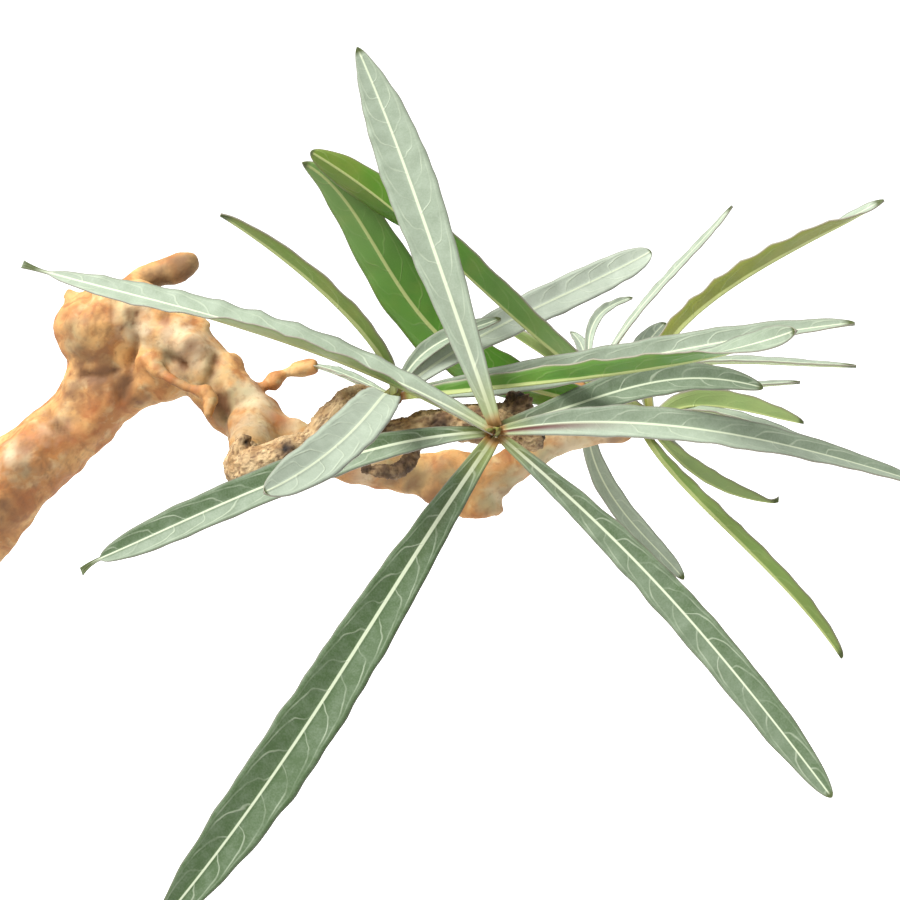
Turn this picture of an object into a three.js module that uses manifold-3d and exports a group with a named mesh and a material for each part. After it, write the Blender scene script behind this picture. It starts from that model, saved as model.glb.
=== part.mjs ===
// A potted adenium somalense: a terracotta pot, its soil, one woody body and four leaf rosettes.
// Millimetres, +Z up. The origin is the middle of the pot's flat base, +X is the side the branches lean to,
// and -Y is the front.
import * as THREE from 'three';
import { mergeVertices } from 'three/addons/utils/BufferGeometryUtils.js';
import Module from 'manifold-3d';

const wasm = await Module();
wasm.setup();

// Driving dimensions
const POT_HEIGHT = 104;
const POT_BASE_RADIUS = 48;
const POT_NECK_RADIUS = 63;
const POT_RIM_RADIUS = 71;
const POT_RIM_HEIGHT = 24;
const POT_WALL = 4.5;
const POT_FLOOR = 6;
const DRAIN_HOLES = 3;
const DRAIN_RADIUS = 5;
const DRAIN_CIRCLE_RADIUS = 26;
const SOIL_TOP = 95;
const SOIL_SWELL = 2.5;
const CAUDEX_RADIUS = 44;
const CAUDEX_FOOT_RADIUS = 38;
const CAUDEX_BURIED = 16;
const CLEARANCE = 0.3;
const LEAF_THICKNESS = 0.85;
const MIDRIB_THICKNESS = 1.3;
const LEAF_TIP_WIDTH = 1.0;
const PETIOLE_SHARE = 0.25;
const LEAF_STEPS = 14;
const ROUND_STEPS = 48;

// The sides of a blade's section that make its underside, so that both faces are split alike
const UNDERSIDE = [3, 4];

const FRONT = [0, -0.94, 0.34];

// Where the green shoot of each rosette ends, its radius, and the way the shoot points
const ROSETTE_A = { centre: [199.5, -34, 277.5], radius: 2.7, axis: [-0.2, -0.9, 0.3] };
const ROSETTE_B = { centre: [178, -19.5, 280], radius: 2.7, axis: [0.8, 0.1, 0.6] };
const ROSETTE_C = { centre: [234, 5, 265.5], radius: 3, axis: [0.8, 0.5, 0.2] };
const ROSETTE_D = { centre: [223.5, 52, 259.5], radius: 2.4, axis: [0.2, 1, 0.1] };

// Leaf rows. route: points of the midrib from the rosette's centre, evenly spaced along the leaf.
// face: the way its upper side looks, from base to tip. fold: how far each half is folded up, in degrees.
// widest: the share of the length where the blade is widest. wave: height and number of the margin's waves.
const LEAVES_A = [
  { route: [[-1, -1.5, -1.5], [-21.8, -29.5, -24.7], [-41.4, -53, -48.3], [-65, -73.5, -74]],
    width: 12, face: [FRONT], fold: [8], widest: 0.62, wave: [0.4, 3] },
  { route: [[1, -1.5, -1], [23.7, -12.3, -18.9], [43.7, -27.2, -36.8], [66, -47.5, -60]],
    width: 8, face: [FRONT], fold: [10], widest: 0.6, wave: [0.5, 4] },
  { route: [[-2, -1, 0.5], [-30, -5.5, -3.5], [-57.5, -10, -13], [-85.5, -13.5, -25]],
    width: 7.8, face: [[0, -0.8, 0.6]], fold: [12], widest: 0.58, wave: [0.5, 4] },
  { route: [[-1, -2, 0.5], [-34.5, 8, 14], [-67, 17.5, 21.5], [-100, 27, 27.5]],
    width: 10, face: [[0, -0.7, 0.7], [0, 0.2, 1], [0, -0.4, 0.9]], fold: [15, 42, 12], widest: 0.42,
    wave: [0.4, 4] },
  { route: [[0, 1, 2], [-12.4, 17, 32.5], [-20.6, 29, 53], [-29, 38, 72]],
    width: 11, face: [FRONT], fold: [10], widest: 0.55, wave: [0.2, 3] },
  { route: [[1.5, -1, 0.5], [29.5, -4, 3], [59, -7.5, -0.5], [89, -7.5, -9.5]],
    width: 8.6, face: [[0, -0.9, 0.5], [0, -0.2, 1]], fold: [14], widest: 0.42, wave: [0.4, 3] },
  { route: [[1.5, 1.5, 1], [19.5, 10.5, 3], [37, 16.5, 5.5], [57, 20, 2.5]],
    width: 7.6, face: [[0, -0.7, 0.7]], fold: [14, 20], widest: 0.5, wave: [0.3, 3] },
];
const LEAVES_B = [
  { route: [[-1, -2, -0.5], [-2, -28, 9], [-8, -56.5, 11], [-22, -79, 8.5]],
    width: 9.4, face: [[0.2, -0.5, 0.8], [0.1, -0.8, 0.6]], fold: [10], widest: 0.6, wave: [0.3, 3] },
  { route: [[0, -1, 0.5], [-4.8, -3.5, 14.2], [-19.2, -4.5, 29.4], [-34.5, -8, 42]],
    width: 6.8, face: [[0.6, 0.7, 0.3]], fold: [42, 40], widest: 0.55, wave: [0.2, 3] },
  { route: [[-1, 1.8, 0], [-9.5, 13, 0.5], [-16, 23, -0.5], [-23.5, 33.5, -1]],
    width: 6, face: [[0, 0.1, 1]], fold: [15], widest: 0.55, wave: [0.2, 2] },
  { route: [[1.5, -1, 0.5], [28.5, -3.5, 3], [56.5, -19, 12], [79, -40, 26]],
    width: 7, face: [[0, 0.9, 0.4], [0, 0.8, 0.5], [0, -0.5, 0.8]], fold: [40, 40, 12], widest: 0.6,
    wave: [0.6, 4] },
  { route: [[0.5, 1.8, 0.3], [6.5, 12.5, 5.5], [14, 18.5, 8], [23, 23, 10]],
    width: 4.6, face: [[0.2, -0.3, 0.9]], fold: [25], widest: 0.5, wave: [0.2, 2] },
  { route: [[1, 1.8, 0], [18.5, 24, 5.5], [39.5, 47, 9], [58, 60, 14.5]],
    width: 8, face: [[0, -0.8, 0.6]], fold: [10], widest: 0.6, wave: [0.4, 3] },
  { route: [[1.5, 1.5, 0], [34.5, 8, 2.5], [67, 12, 7.5], [98.5, 13.5, 12]],
    width: 8, face: [[0, -0.8, 0.6], [0, -0.6, 0.8]], fold: [15, 25], widest: 0.45, wave: [0.4, 3] },
];
const LEAVES_C = [
  { route: [[-0.5, 2, 1.5], [-26.5, -2, 22.5], [-49.5, 2, 42.5], [-74, 5, 60]],
    width: 9, face: [[0.7, 0.5, 0.4], [0.7, 0.6, 0.4], [0, 1, -0.2]], fold: [45, 42, 10], widest: 0.7,
    wave: [0.3, 3] },
  { route: [[-0.5, 2, 1.5], [-25, 5.5, 6], [-46, 6, 18], [-60.5, 7.5, 38.5], [-76, 7.5, 57]],
    width: 11.8, face: [[0, 0.8, 0.5], [0.1, 1, -0.2], [0.1, 1, -0.2]], fold: [10], widest: 0.6,
    wave: [0.3, 2] },
  { route: [[0.5, 1.5, 1.5], [6, 1.5, 21.5], [26.5, -1.5, 38.5], [48.5, -3, 51.5]],
    width: 7.8, face: [[-0.5, 0.8, 0.3], [-0.5, 0.8, 0.4], [0, -0.3, 1]], fold: [42, 35, 10], widest: 0.6,
    wave: [0.5, 4] },
  { route: [[0.5, 2, 1], [-1, 15, 7], [0.5, 26.5, 9], [6, 40, 10.5]],
    width: 6, face: [[0, -0.5, 0.8]], fold: [15], widest: 0.55, wave: [0.2, 2] },
  { route: [[-1.2, 0, -1.8], [10, -9, -14], [25.8, -21, -27], [40.5, -31.5, -42.5]],
    width: 7, face: [[0.5, 0.8, 0.2]], fold: [40], widest: 0.6, wave: [0.3, 3] },
  { route: [[1, -0.5, -1.5], [9, -1.5, -10], [18, -1.5, -15.5], [29, -0.5, -18.5]],
    width: 5.6, face: [[0.3, 0.9, 0.3]], fold: [38], widest: 0.5, wave: [0.3, 3] },
  { route: [[1, -1.5, 1.5], [11, 1.5, 4], [23, 1, 2.5], [34, 0.5, 0]],
    width: 7.8, face: [[0, 0.9, 0.4]], fold: [42, 40], widest: 0.5, wave: [0.2, 2] },
  { route: [[1.5, 0.5, 1], [14.5, -3, 3.5], [29, -10.5, 1], [45, -17.5, -2]],
    width: 5.5, face: [[0, 0.2, 1]], fold: [15], widest: 0.5, wave: [0.2, 3] },
  { route: [[-0.5, 2, 0], [-12.5, 8.5, 6.5], [-22, 14.5, 11], [-31.5, 20.5, 15.5]],
    width: 5.5, face: [[0.3, 0.8, 0.6]], fold: [30], widest: 0.5, wave: [0.2, 2] },
];
const LEAVES_D = [
  { route: [[1, 1.5, 0.5], [12.5, 19, 12], [25.5, 35.5, 21], [36.5, 47, 30]],
    width: 4.2, face: [[0.6, -0.3, 0.7]], fold: [25], widest: 0.5, wave: [0.2, 3] },
  { route: [[0, 1.6, 0.5], [0.5, 15.5, 7.5], [5, 27, 9.5], [11.5, 34.5, 10]],
    width: 4.2, face: [[0, -0.4, 0.9]], fold: [25], widest: 0.5, wave: [0.2, 2] },
  { route: [[-0.3, 1.8, 0.3], [-1, 17.5, 1], [-1.5, 31.5, -0.5], [-3, 46, -2.5]],
    width: 5, face: [[0, 0.1, 1]], fold: [20], widest: 0.5, wave: [0.2, 2] },
  { route: [[1, 0.5, -1], [8.5, 5, -10], [16.5, 11, -17], [24.5, 16.5, -24.5]],
    width: 4.5, face: [[0, -0.2, 1]], fold: [20], widest: 0.5, wave: [0.2, 2] },
  { route: [[-0.5, 0.5, -1.5], [1, -16.5, -16.5], [10.5, -25, -28.5], [20.5, -31, -38]],
    width: 5.2, face: [[0.2, -0.8, 0.6]], fold: [10], widest: 0.5, wave: [0.3, 2] },
  { route: [[1.5, 0, 0], [23.5, 3.5, 3.5], [42.5, 5.5, 3], [63.5, 7, 1.5]],
    width: 5, face: [[0, 0, 1]], fold: [20], widest: 0.5, wave: [0.2, 3] },
  { route: [[1.5, 1, -1], [19, 9, -5], [35.5, 16.5, -7], [52.5, 24.5, -8.5]],
    width: 4.2, face: [[0, -0.1, 1]], fold: [20], widest: 0.5, wave: [0.2, 3] },
];

// Limbs of the woody body. Each point is x, y, z and the limb's radius there.
const TRUNK = [
  [0, 0, SOIL_TOP - CAUDEX_BURIED, CAUDEX_FOOT_RADIUS], [0, 0, SOIL_TOP + 4, CAUDEX_FOOT_RADIUS],
  [0, 0, 106, CAUDEX_RADIUS], [0, 0, 122, CAUDEX_RADIUS - 1], [1, 0, 138, CAUDEX_RADIUS - 8],
  [4, 0, 153, 27], [11, 1, 168, 21], [23, 2, 183, 17.5], [41, 4, 201, 14.8], [62, 6, 221, 12.5],
  [80, 8, 237, 10.8], [93, 11, 251, 9.3], [103, 14, 259, 8.4], [110.5, 16.5, 267, 8.4],
  [113.5, 19.5, 275, 9], [112.5, 22, 283, 11], [113, 23.5, 290.5, 8.5],
];
const LIMBS = [
  { // knobbly arm and the long smooth branch that ends under rosette C
    points: [
      [112, 22, 284, 9.5], [119.5, 20.5, 284.5, 8.4], [126.5, 17.5, 281.5, 7], [132.5, 14.5, 278.5, 6.3],
      [137.5, 11.5, 273, 6.6], [142, 9, 268.8, 6.9], [147, 5.5, 265.4, 6], [153, 2.5, 262.8, 5],
      [161.5, 2, 259.6, 4.8], [172.5, 1, 257, 4.7], [183.5, 0.5, 255.4, 5], [191, 0, 256, 5.1],
      [197, -1.5, 253, 5.3], [204.5, -1.5, 256, 4.8], [214, -1, 261, 4.4], [222.5, 0, 264, 4.2],
      [226, 1, 264.5, 4.9], [230.3, 2.9, 264.7, 4.7],
    ],
  },
  { points: [[197, -1.5, 254, 5], [197, -2.5, 249, 4.9], [197, -3.5, 245.5, 5]] },
  { points: [[113, 25, 285, 6], [119, 29.5, 289.5, 4], [125, 32, 292, 3.3], [132, 32.7, 294.2, 3]] },
  { points: [[124, 17, 280, 4], [125.5, 11, 278, 2.8], [129.5, 6.5, 276.5, 2.2], [135.5, 4, 274.5, 2],
    [139, 3, 273.5, 2.3]] },
  { points: [[138, 3, 273.5, 2], [137.5, -1, 271, 1.7], [137.3, -3, 268.8, 1.3]] },
  { points: [[131.4, 16.7, 285.1, 3], [134.6, 15.6, 284.9, 1.6], [136.9, 14.4, 284.6, 1.3]] },
  { points: [[138.5, 11.9, 274.5, 4], [142, 11.7, 277, 3], [143.2, 11.3, 278.3, 2.2]] },
  { points: [[145.5, 9, 269, 3], [149, 12, 272, 2.2], [153, 12.8, 274.4, 1.8], [157, 13, 275.3, 1.7],
    [160, 13.3, 275.9, 1.8]] },
  { points: [[107.5, 23.5, 286, 3], [105, 24.3, 288.5, 1.8], [104, 24.8, 290.2, 1.1]] },
  { points: [[112, 16.3, 265.5, 6], [123.2, 14.2, 272.5, 5.4], [132.5, 11.5, 272.5, 4]] },
  { // rough branch that comes forward from the arm and rises to rosette B
    points: [
      [147, 4, 265, 4.4], [146.5, -6, 264, 4.1], [146, -16, 263.8, 3.9], [146.5, -23, 264.7, 3.9],
      [150.5, -26, 267, 4], [155.5, -25.5, 268.5, 4.3], [161.5, -24.5, 271, 4.1], [165.5, -22.5, 275.5, 3.8],
      [169, -21, 278.5, 3.9], [172, -20.4, 279.2, 3.6], [174.9, -19.9, 279.6, 3],
    ],
  },
  { points: [[146, -23, 264.5, 3.6], [145.5, -23, 268.5, 2.6], [146.5, -22.5, 271.5, 1.6]] },
  { points: [[156.5, -26.5, 268.5, 4], [155.8, -28, 270.5, 3], [155.5, -28.8, 272, 2.2]] },
  { // its lower fork, with a cut end to the right of rosette A
    points: [
      [157, -25, 269.5, 3.8], [167, -22, 270, 3.5], [179.5, -20, 272, 3.4], [188, -19, 273.5, 3.5],
      [196, -19, 274, 4.2], [203.5, -19.5, 273.5, 4.4], [210.5, -20.5, 271, 4.4],
    ],
  },
  { points: [[204.5, -19, 274, 3.6], [204.5, -18.5, 277, 3], [204.5, -18.5, 279, 2.8]] },
  { points: [[181.5, -20.5, 270.5, 2.6], [182, -22.5, 267.5, 2], [179.5, -25.5, 265.5, 1.9],
    [175, -26.5, 265.5, 1.9], [171, -25.5, 266.5, 1.6]] },
  { points: [[201.5, -20, 274.5, 3.6], [200.8, -25.5, 275.5, 3], [200.2, -30.4, 276.5, 2.4]] },
  { // thin branch that runs back to rosette D
    points: [[208, -1, 258, 3.6], [211, 13, 258, 3], [215, 32, 260, 2.7], [220.5, 45, 259.8, 2.5],
      [222.9, 49.2, 259.4, 2.2]],
  },
];

const WOOD_SIDES = 12;
const LIMB_SIDES = 8;
const LIMB_STEP = 3.6;

const COLOURS = {
  terracotta: 0xb5694a,
  soil: 0x4a3a2d,
  bark: 0xd1a07a,
  leaf: 0x8fa68d,
};

function vector(point) {
  return new THREE.Vector3(point[0], point[1], point[2]);
}

// A value of a list spread evenly over 0 to 1, blended between its entries.
function along(list, t) {
  const place = t * (list.length - 1);
  const first = Math.min(Math.floor(place), Math.max(list.length - 2, 0));
  const last = Math.min(first + 1, list.length - 1);
  return list[first] + (list[last] - list[first]) * (place - first);
}

// The polynomial through evenly spaced points, at t from 0 to 1.
function curveThrough(points, t) {
  const result = new THREE.Vector3();
  const last = points.length - 1;
  points.forEach((point, i) => {
    let weight = 1;
    for (let j = 0; j <= last; j++) {
      if (j !== i) weight *= (t * last - j) / (i - j);
    }
    result.addScaledVector(vector(point), weight);
  });
  return result;
}

// Joins rings of equal count into one closed body, with a flat fan at each end.
// The sides listed in otherWay are split along their other diagonal.
function loft(rings, otherWay = []) {
  const count = rings[0].length;
  const positions = [];
  const index = [];
  rings.flat().forEach((point) => positions.push(point.x, point.y, point.z));
  for (let r = 0; r < rings.length - 1; r++) {
    for (let i = 0; i < count; i++) {
      const a = r * count + i;
      const b = r * count + (i + 1) % count;
      if (otherWay.includes(i)) index.push(a, b, b + count, a, b + count, a + count);
      else index.push(a, b, a + count, b, b + count, a + count);
    }
  }
  const end = (rings.length - 1) * count;
  for (let i = 1; i < count - 1; i++) {
    index.push(0, i + 1, i);
    index.push(end, end + i, end + i + 1);
  }
  const geometry = new THREE.BufferGeometry();
  geometry.setAttribute('position', new THREE.Float32BufferAttribute(positions, 3));
  geometry.setIndex(index);
  return geometry;
}

function toSolid(geometry) {
  const bare = geometry.clone();
  bare.deleteAttribute('normal');
  bare.deleteAttribute('uv');
  const merged = mergeVertices(bare, 1e-4);
  return new wasm.Manifold(new wasm.Mesh({
    numProp: 3,
    vertProperties: merged.attributes.position.array,
    triVerts: new Uint32Array(merged.index.array),
  }));
}

function toGeometry(solid) {
  const mesh = solid.getMesh();
  const geometry = new THREE.BufferGeometry();
  geometry.setAttribute('position', new THREE.Float32BufferAttribute(mesh.vertProperties, 3));
  geometry.setIndex(new THREE.Uint32BufferAttribute(mesh.triVerts, 1));
  geometry.computeVertexNormals();
  return geometry;
}

function named(name, geometry, colour, roughness) {
  const material = new THREE.MeshStandardMaterial({ color: colour, roughness, metalness: 0 });
  const mesh = new THREE.Mesh(geometry, material);
  mesh.name = name;
  return mesh;
}

// A turned solid from radius and height pairs that start and end on the axis.
function turned(profile, steps) {
  const points = profile.map(([radius, height]) => new THREE.Vector2(radius, height));
  const geometry = new THREE.LatheGeometry(points, steps);
  geometry.rotateX(Math.PI / 2);
  return toSolid(geometry);
}

// How wide the blade is at t, as a share of its full width.
function bladeShare(t, widest) {
  if (t < widest) {
    return PETIOLE_SHARE + (1 - PETIOLE_SHARE) * Math.sin(0.5 * Math.PI * t / widest) ** 0.9;
  }
  const beyond = (t - widest) / (1 - widest);
  return Math.sqrt(Math.max(0, 1 - beyond ** 2.4));
}

function leaf(row, centre) {
  const rings = [];
  const faces = row.face.map(vector);
  for (let i = 0; i <= LEAF_STEPS; i++) {
    const t = 1 - (1 - i / LEAF_STEPS) ** 1.4;
    const middle = curveThrough(row.route, t).add(vector(centre));
    const ahead = curveThrough(row.route, Math.min(1, t + 0.01));
    const behind = curveThrough(row.route, Math.max(0, t - 0.01));
    const direction = ahead.sub(behind).normalize();
    const normal = new THREE.Vector3(
      along(faces.map((f) => f.x), t), along(faces.map((f) => f.y), t), along(faces.map((f) => f.z), t));
    normal.addScaledVector(direction, -normal.dot(direction)).normalize();
    const side = new THREE.Vector3().crossVectors(direction, normal);
    const half = Math.max(LEAF_TIP_WIDTH, row.width * bladeShare(t, row.widest)) / 2;
    const fold = THREE.MathUtils.degToRad(along(row.fold, t));
    const ripple = row.wave[0] * Math.sin(2 * Math.PI * row.wave[1] * t) * Math.min(1, 4 * t * (1 - t));
    const rise = half * Math.sin(fold);
    const reach = half * Math.cos(fold);
    const at = (across, up) => middle.clone().addScaledVector(side, across).addScaledVector(normal, up);
    const left = rise + ripple;
    const right = rise - ripple;
    rings.push([
      at(-reach, left), at(0, 0), at(reach, right),
      at(reach, right - LEAF_THICKNESS), at(0, -MIDRIB_THICKNESS), at(-reach, left - LEAF_THICKNESS),
    ]);
  }
  return toSolid(loft(rings, UNDERSIDE));
}

// One rosette: its leaves fused to the short green shoot that carries them.
function rosette(place, leaves) {
  const shoot = new THREE.SphereGeometry(place.radius, 12, 8);
  shoot.scale(1, 1, 1.2);
  shoot.applyQuaternion(new THREE.Quaternion().setFromUnitVectors(
    new THREE.Vector3(0, 0, 1), vector(place.axis).normalize()));
  shoot.translate(...place.centre);
  const blades = leaves.map((row) => leaf(row, place.centre));
  return blades.reduce((sum, blade) => sum.add(blade), toSolid(shoot));
}

// A limb: rings along a smooth curve through the points, knobbly by a small formula.
function limb(points, sides, step, knobs) {
  const curve = new THREE.CatmullRomCurve3(points.map(vector), false, 'centripetal');
  const steps = Math.max(3, Math.round(curve.getLength() / step));
  const frames = curve.computeFrenetFrames(steps, false);
  const radii = points.map((point) => point[3]);
  const rings = [];
  for (let i = 0; i <= steps; i++) {
    const t = curve.getUtoTmapping(i / steps);
    const centre = curve.getPoint(t);
    const ring = [];
    for (let j = 0; j < sides; j++) {
      const angle = 2 * Math.PI * j / sides;
      const lump = 1 + knobs * Math.sin(3 * angle + 1.7 * i) * Math.sin(1.1 * i + 0.5);
      const radius = along(radii, t) * lump;
      ring.push(centre.clone()
        .addScaledVector(frames.normals[i], radius * Math.cos(angle))
        .addScaledVector(frames.binormals[i], radius * Math.sin(angle)));
    }
    rings.push(ring);
  }
  return toSolid(loft(rings));
}

// The caudex and trunk: upright rings in the soil that lean over with the trunk.
function trunk() {
  const curve = new THREE.CatmullRomCurve3(TRUNK.map(vector), false, 'centripetal');
  const radii = TRUNK.map((point) => point[3]);
  const perPoint = 2;
  const steps = (TRUNK.length - 1) * perPoint;
  const rings = [];
  const first = new THREE.Vector3(0, -1, 0);
  for (let i = 0; i <= steps; i++) {
    const t = i / steps;
    const centre = curve.getPoint(t);
    const direction = curve.getTangent(t);
    const across = new THREE.Vector3().crossVectors(first, direction).normalize();
    const away = new THREE.Vector3().crossVectors(direction, across).normalize();
    const buried = i <= perPoint;
    const ring = [];
    for (let j = 0; j < 2 * WOOD_SIDES; j++) {
      const angle = Math.PI * j / WOOD_SIDES;
      const lump = 0.035 * Math.sin(5 * angle + 0.8 * i) + 0.03 * Math.sin(2 * angle - 0.6 * i);
      const radius = along(radii, t) * (buried ? 1 : 1 + lump);
      ring.push(centre.clone()
        .addScaledVector(across, radius * Math.cos(angle))
        .addScaledVector(away, radius * Math.sin(angle)));
    }
    rings.push(ring);
  }
  return toSolid(loft(rings));
}

function woodyBody() {
  const limbs = LIMBS.map((row) => limb(row.points, LIMB_SIDES, LIMB_STEP, 0.06));
  return limbs.reduce((sum, part) => sum.add(part), trunk());
}

function pot() {
  const rimFoot = POT_HEIGHT - POT_RIM_HEIGHT;
  const inside = POT_NECK_RADIUS - POT_WALL;
  const shell = turned([
    [0, 0], [POT_BASE_RADIUS - 1.5, 0], [POT_BASE_RADIUS, 1.5],
    [POT_NECK_RADIUS, rimFoot], [POT_RIM_RADIUS - 2, rimFoot + 1], [POT_RIM_RADIUS, POT_HEIGHT - 2],
    [POT_RIM_RADIUS - 1.5, POT_HEIGHT], [POT_RIM_RADIUS - POT_WALL, POT_HEIGHT],
    [inside + 1.5, rimFoot], [POT_BASE_RADIUS - POT_WALL, POT_FLOOR], [0, POT_FLOOR],
  ], ROUND_STEPS);
  let solid = shell;
  for (let i = 0; i < DRAIN_HOLES; i++) {
    const angle = 2 * Math.PI * i / DRAIN_HOLES;
    const hole = new THREE.CylinderGeometry(DRAIN_RADIUS, DRAIN_RADIUS, 4 * POT_FLOOR, 16);
    hole.rotateX(Math.PI / 2);
    hole.translate(DRAIN_CIRCLE_RADIUS * Math.cos(angle), DRAIN_CIRCLE_RADIUS * Math.sin(angle), 0);
    solid = solid.subtract(toSolid(hole));
  }
  return solid;
}

// The soil fills the pot to a little under the rim and has a plain hole for the caudex's foot.
function soil() {
  const rimFoot = POT_HEIGHT - POT_RIM_HEIGHT;
  const neck = POT_NECK_RADIUS - POT_WALL + 1.5 - CLEARANCE;
  const rimInside = POT_RIM_RADIUS - POT_WALL;
  const top = neck + (rimInside - neck) * (SOIL_TOP - rimFoot) / POT_RIM_HEIGHT - CLEARANCE;
  const holeRadius = CAUDEX_FOOT_RADIUS + CLEARANCE;
  const holeFloor = SOIL_TOP - CAUDEX_BURIED - CLEARANCE;
  return turned([
    [0, POT_FLOOR + CLEARANCE], [POT_BASE_RADIUS - POT_WALL - CLEARANCE, POT_FLOOR + CLEARANCE],
    [neck, rimFoot], [top, SOIL_TOP], [(top + holeRadius) / 2, SOIL_TOP + SOIL_SWELL],
    [holeRadius, SOIL_TOP + 1], [holeRadius, holeFloor], [0, holeFloor],
  ], ROUND_STEPS);
}

const plant = new THREE.Group();
plant.add(named('terracotta_pot', toGeometry(pot()), COLOURS.terracotta, 0.85));
plant.add(named('potting_soil', toGeometry(soil()), COLOURS.soil, 1));
plant.add(named('woody_body', toGeometry(woodyBody()), COLOURS.bark, 0.8));
plant.add(named('rosette_a_leaves', toGeometry(rosette(ROSETTE_A, LEAVES_A)), COLOURS.leaf, 0.6));
plant.add(named('rosette_b_leaves', toGeometry(rosette(ROSETTE_B, LEAVES_B)), COLOURS.leaf, 0.6));
plant.add(named('rosette_c_leaves', toGeometry(rosette(ROSETTE_C, LEAVES_C)), COLOURS.leaf, 0.6));
plant.add(named('rosette_d_leaves', toGeometry(rosette(ROSETTE_D, LEAVES_D)), COLOURS.leaf, 0.6));

export default plant;
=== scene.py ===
# %% [markdown]
# # A potted adenium somalense
#
# This desert rose has a swollen stem that stores water, knobbly tan branches with dry stubs, and long
# narrow leaves in loose rosettes. The CAD model gives the plain solids. Here each one is replaced by a
# finer piece that keeps its form and place, and gets the bark, wax and veins that the real plant shows.

# %% The shared frame
import math
import random

import bmesh
import bpy
from mathutils import Matrix, Vector, kdtree, noise


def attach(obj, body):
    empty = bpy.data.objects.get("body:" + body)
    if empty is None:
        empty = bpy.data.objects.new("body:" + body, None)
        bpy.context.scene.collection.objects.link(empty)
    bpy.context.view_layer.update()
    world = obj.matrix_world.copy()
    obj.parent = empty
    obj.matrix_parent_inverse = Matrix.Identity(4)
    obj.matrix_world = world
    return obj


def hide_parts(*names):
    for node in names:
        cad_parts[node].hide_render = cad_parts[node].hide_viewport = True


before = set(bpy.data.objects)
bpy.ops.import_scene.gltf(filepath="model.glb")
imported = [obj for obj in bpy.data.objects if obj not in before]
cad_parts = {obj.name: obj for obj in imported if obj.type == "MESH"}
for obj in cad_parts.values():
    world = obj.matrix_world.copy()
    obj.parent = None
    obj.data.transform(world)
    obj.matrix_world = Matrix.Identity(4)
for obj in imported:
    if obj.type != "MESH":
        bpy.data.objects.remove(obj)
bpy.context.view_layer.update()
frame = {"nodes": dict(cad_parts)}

MM = 0.001

# %% [markdown]
# ## Colours and nodes
#
# Colours are written as the eye knows them, in sRGB, and a shader works in linear light, so one function
# turns them. Another adds a node with its settings and links, which keeps each material short enough to
# read. Every pattern's scale comes from a real size in millimetres.

# %% Colour and node helpers
def linear(colour):
    """An sRGB colour such as "#a9bfa9" as the linear colour that a shader works in."""
    channels = [int(colour[i:i + 2], 16) / 255 for i in (1, 3, 5)]
    return [c / 12.92 if c <= 0.04045 else ((c + 0.055) / 1.055) ** 2.4 for c in channels] + [1]


def put(tree, kind, inputs=None, output=0, **settings):
    """Adds a node, sets its settings, fills or links its inputs, and gives back one output, or the node."""
    made = tree.nodes.new(kind)
    for name, value in settings.items():
        setattr(made, name, value)
    for socket, value in (inputs or {}).items():
        if isinstance(value, bpy.types.NodeSocket):
            tree.links.new(value, made.inputs[socket])
        else:
            made.inputs[socket].default_value = value
    return made if output is None else made.outputs[output]


def start_material(name):
    """A new material with an empty node tree, and that tree."""
    material = bpy.data.materials.new(name)
    material.use_nodes = True
    material.node_tree.nodes.clear()
    return material, material.node_tree


def per_metre(size):
    """How many of a pattern's features of this size in millimetres fit in a metre."""
    return 1 / (size * MM)


# The sockets of a Mix node, whose names repeat
MIX_A, MIX_B, MIX_COLOUR = 6, 7, 2

# %% [markdown]
# ## The camera
#
# The plant was photographed close up from a little above, with a long lens. The sharp rosette lies in the
# plane of focus, where 1 pixel of a 900 pixel picture is 0.21 mm. The camera stands 600 mm before it, and
# the lens follows from that width and distance, so the render lines up with the photograph.

# %% Camera
PICTURE = 900
PIXEL = 0.21
DISTANCE = 600
ELEVATION = math.radians(20)
SENSOR = 36
FOCUS = Vector((190, -25, 270))
look = Vector((0, math.cos(ELEVATION), -math.sin(ELEVATION)))

camera_data = bpy.data.cameras.new("camera")
camera_data.sensor_width = SENSOR
camera_data.lens = SENSOR * DISTANCE / (PICTURE * PIXEL)
camera_data.clip_start = 0.01
camera = bpy.data.objects.new("camera", camera_data)
camera.location = (FOCUS - look * DISTANCE) * MM
camera.rotation_euler = (math.pi / 2 - ELEVATION, 0, 0)
bpy.context.scene.collection.objects.link(camera)
bpy.context.scene.camera = camera
print("lens in mm:", round(camera_data.lens, 1))

# %% [markdown]
# ## Light and floor
#
# The photograph is bright: a pure white surround and one soft lamp above left, which leaves the lower side
# of the wood in shade and makes the two halves of a leaf differ. The world is white to look at but lights
# the plant only half as strongly, because the lamp gives the rest. A weak second lamp stands for the light
# that a white table sends back up. The floor is a plain white sheet just under the pot.

# %% Light, floor and tone
scene = bpy.context.scene
scene.view_settings.view_transform = "Standard"
scene.view_settings.look = "None"

WORLD_LIGHT = 0.5
world = bpy.data.worlds.new("studio")
world.use_nodes = True
world.node_tree.nodes.clear()
seen = put(world.node_tree, "ShaderNodeLightPath", output="Is Camera Ray")
strength = put(world.node_tree, "ShaderNodeMapRange", {"Value": seen, "To Min": WORLD_LIGHT, "To Max": 1})
surround = put(world.node_tree, "ShaderNodeBackground", {"Color": (1, 1, 1, 1), "Strength": strength})
put(world.node_tree, "ShaderNodeOutputWorld", {"Surface": surround}, output=None)
scene.world = world


def area_lamp(name, place, target, size, power, seen=True):
    """A soft square lamp of so many metres and watts that shines at a target."""
    data = bpy.data.lights.new(name, "AREA")
    data.size = size
    data.energy = power
    lamp = bpy.data.objects.new(name, data)
    lamp.location = place
    lamp.rotation_euler = (Vector(target) - Vector(place)).to_track_quat("-Z", "Y").to_euler()
    lamp.visible_camera = seen
    scene.collection.objects.link(lamp)


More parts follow.
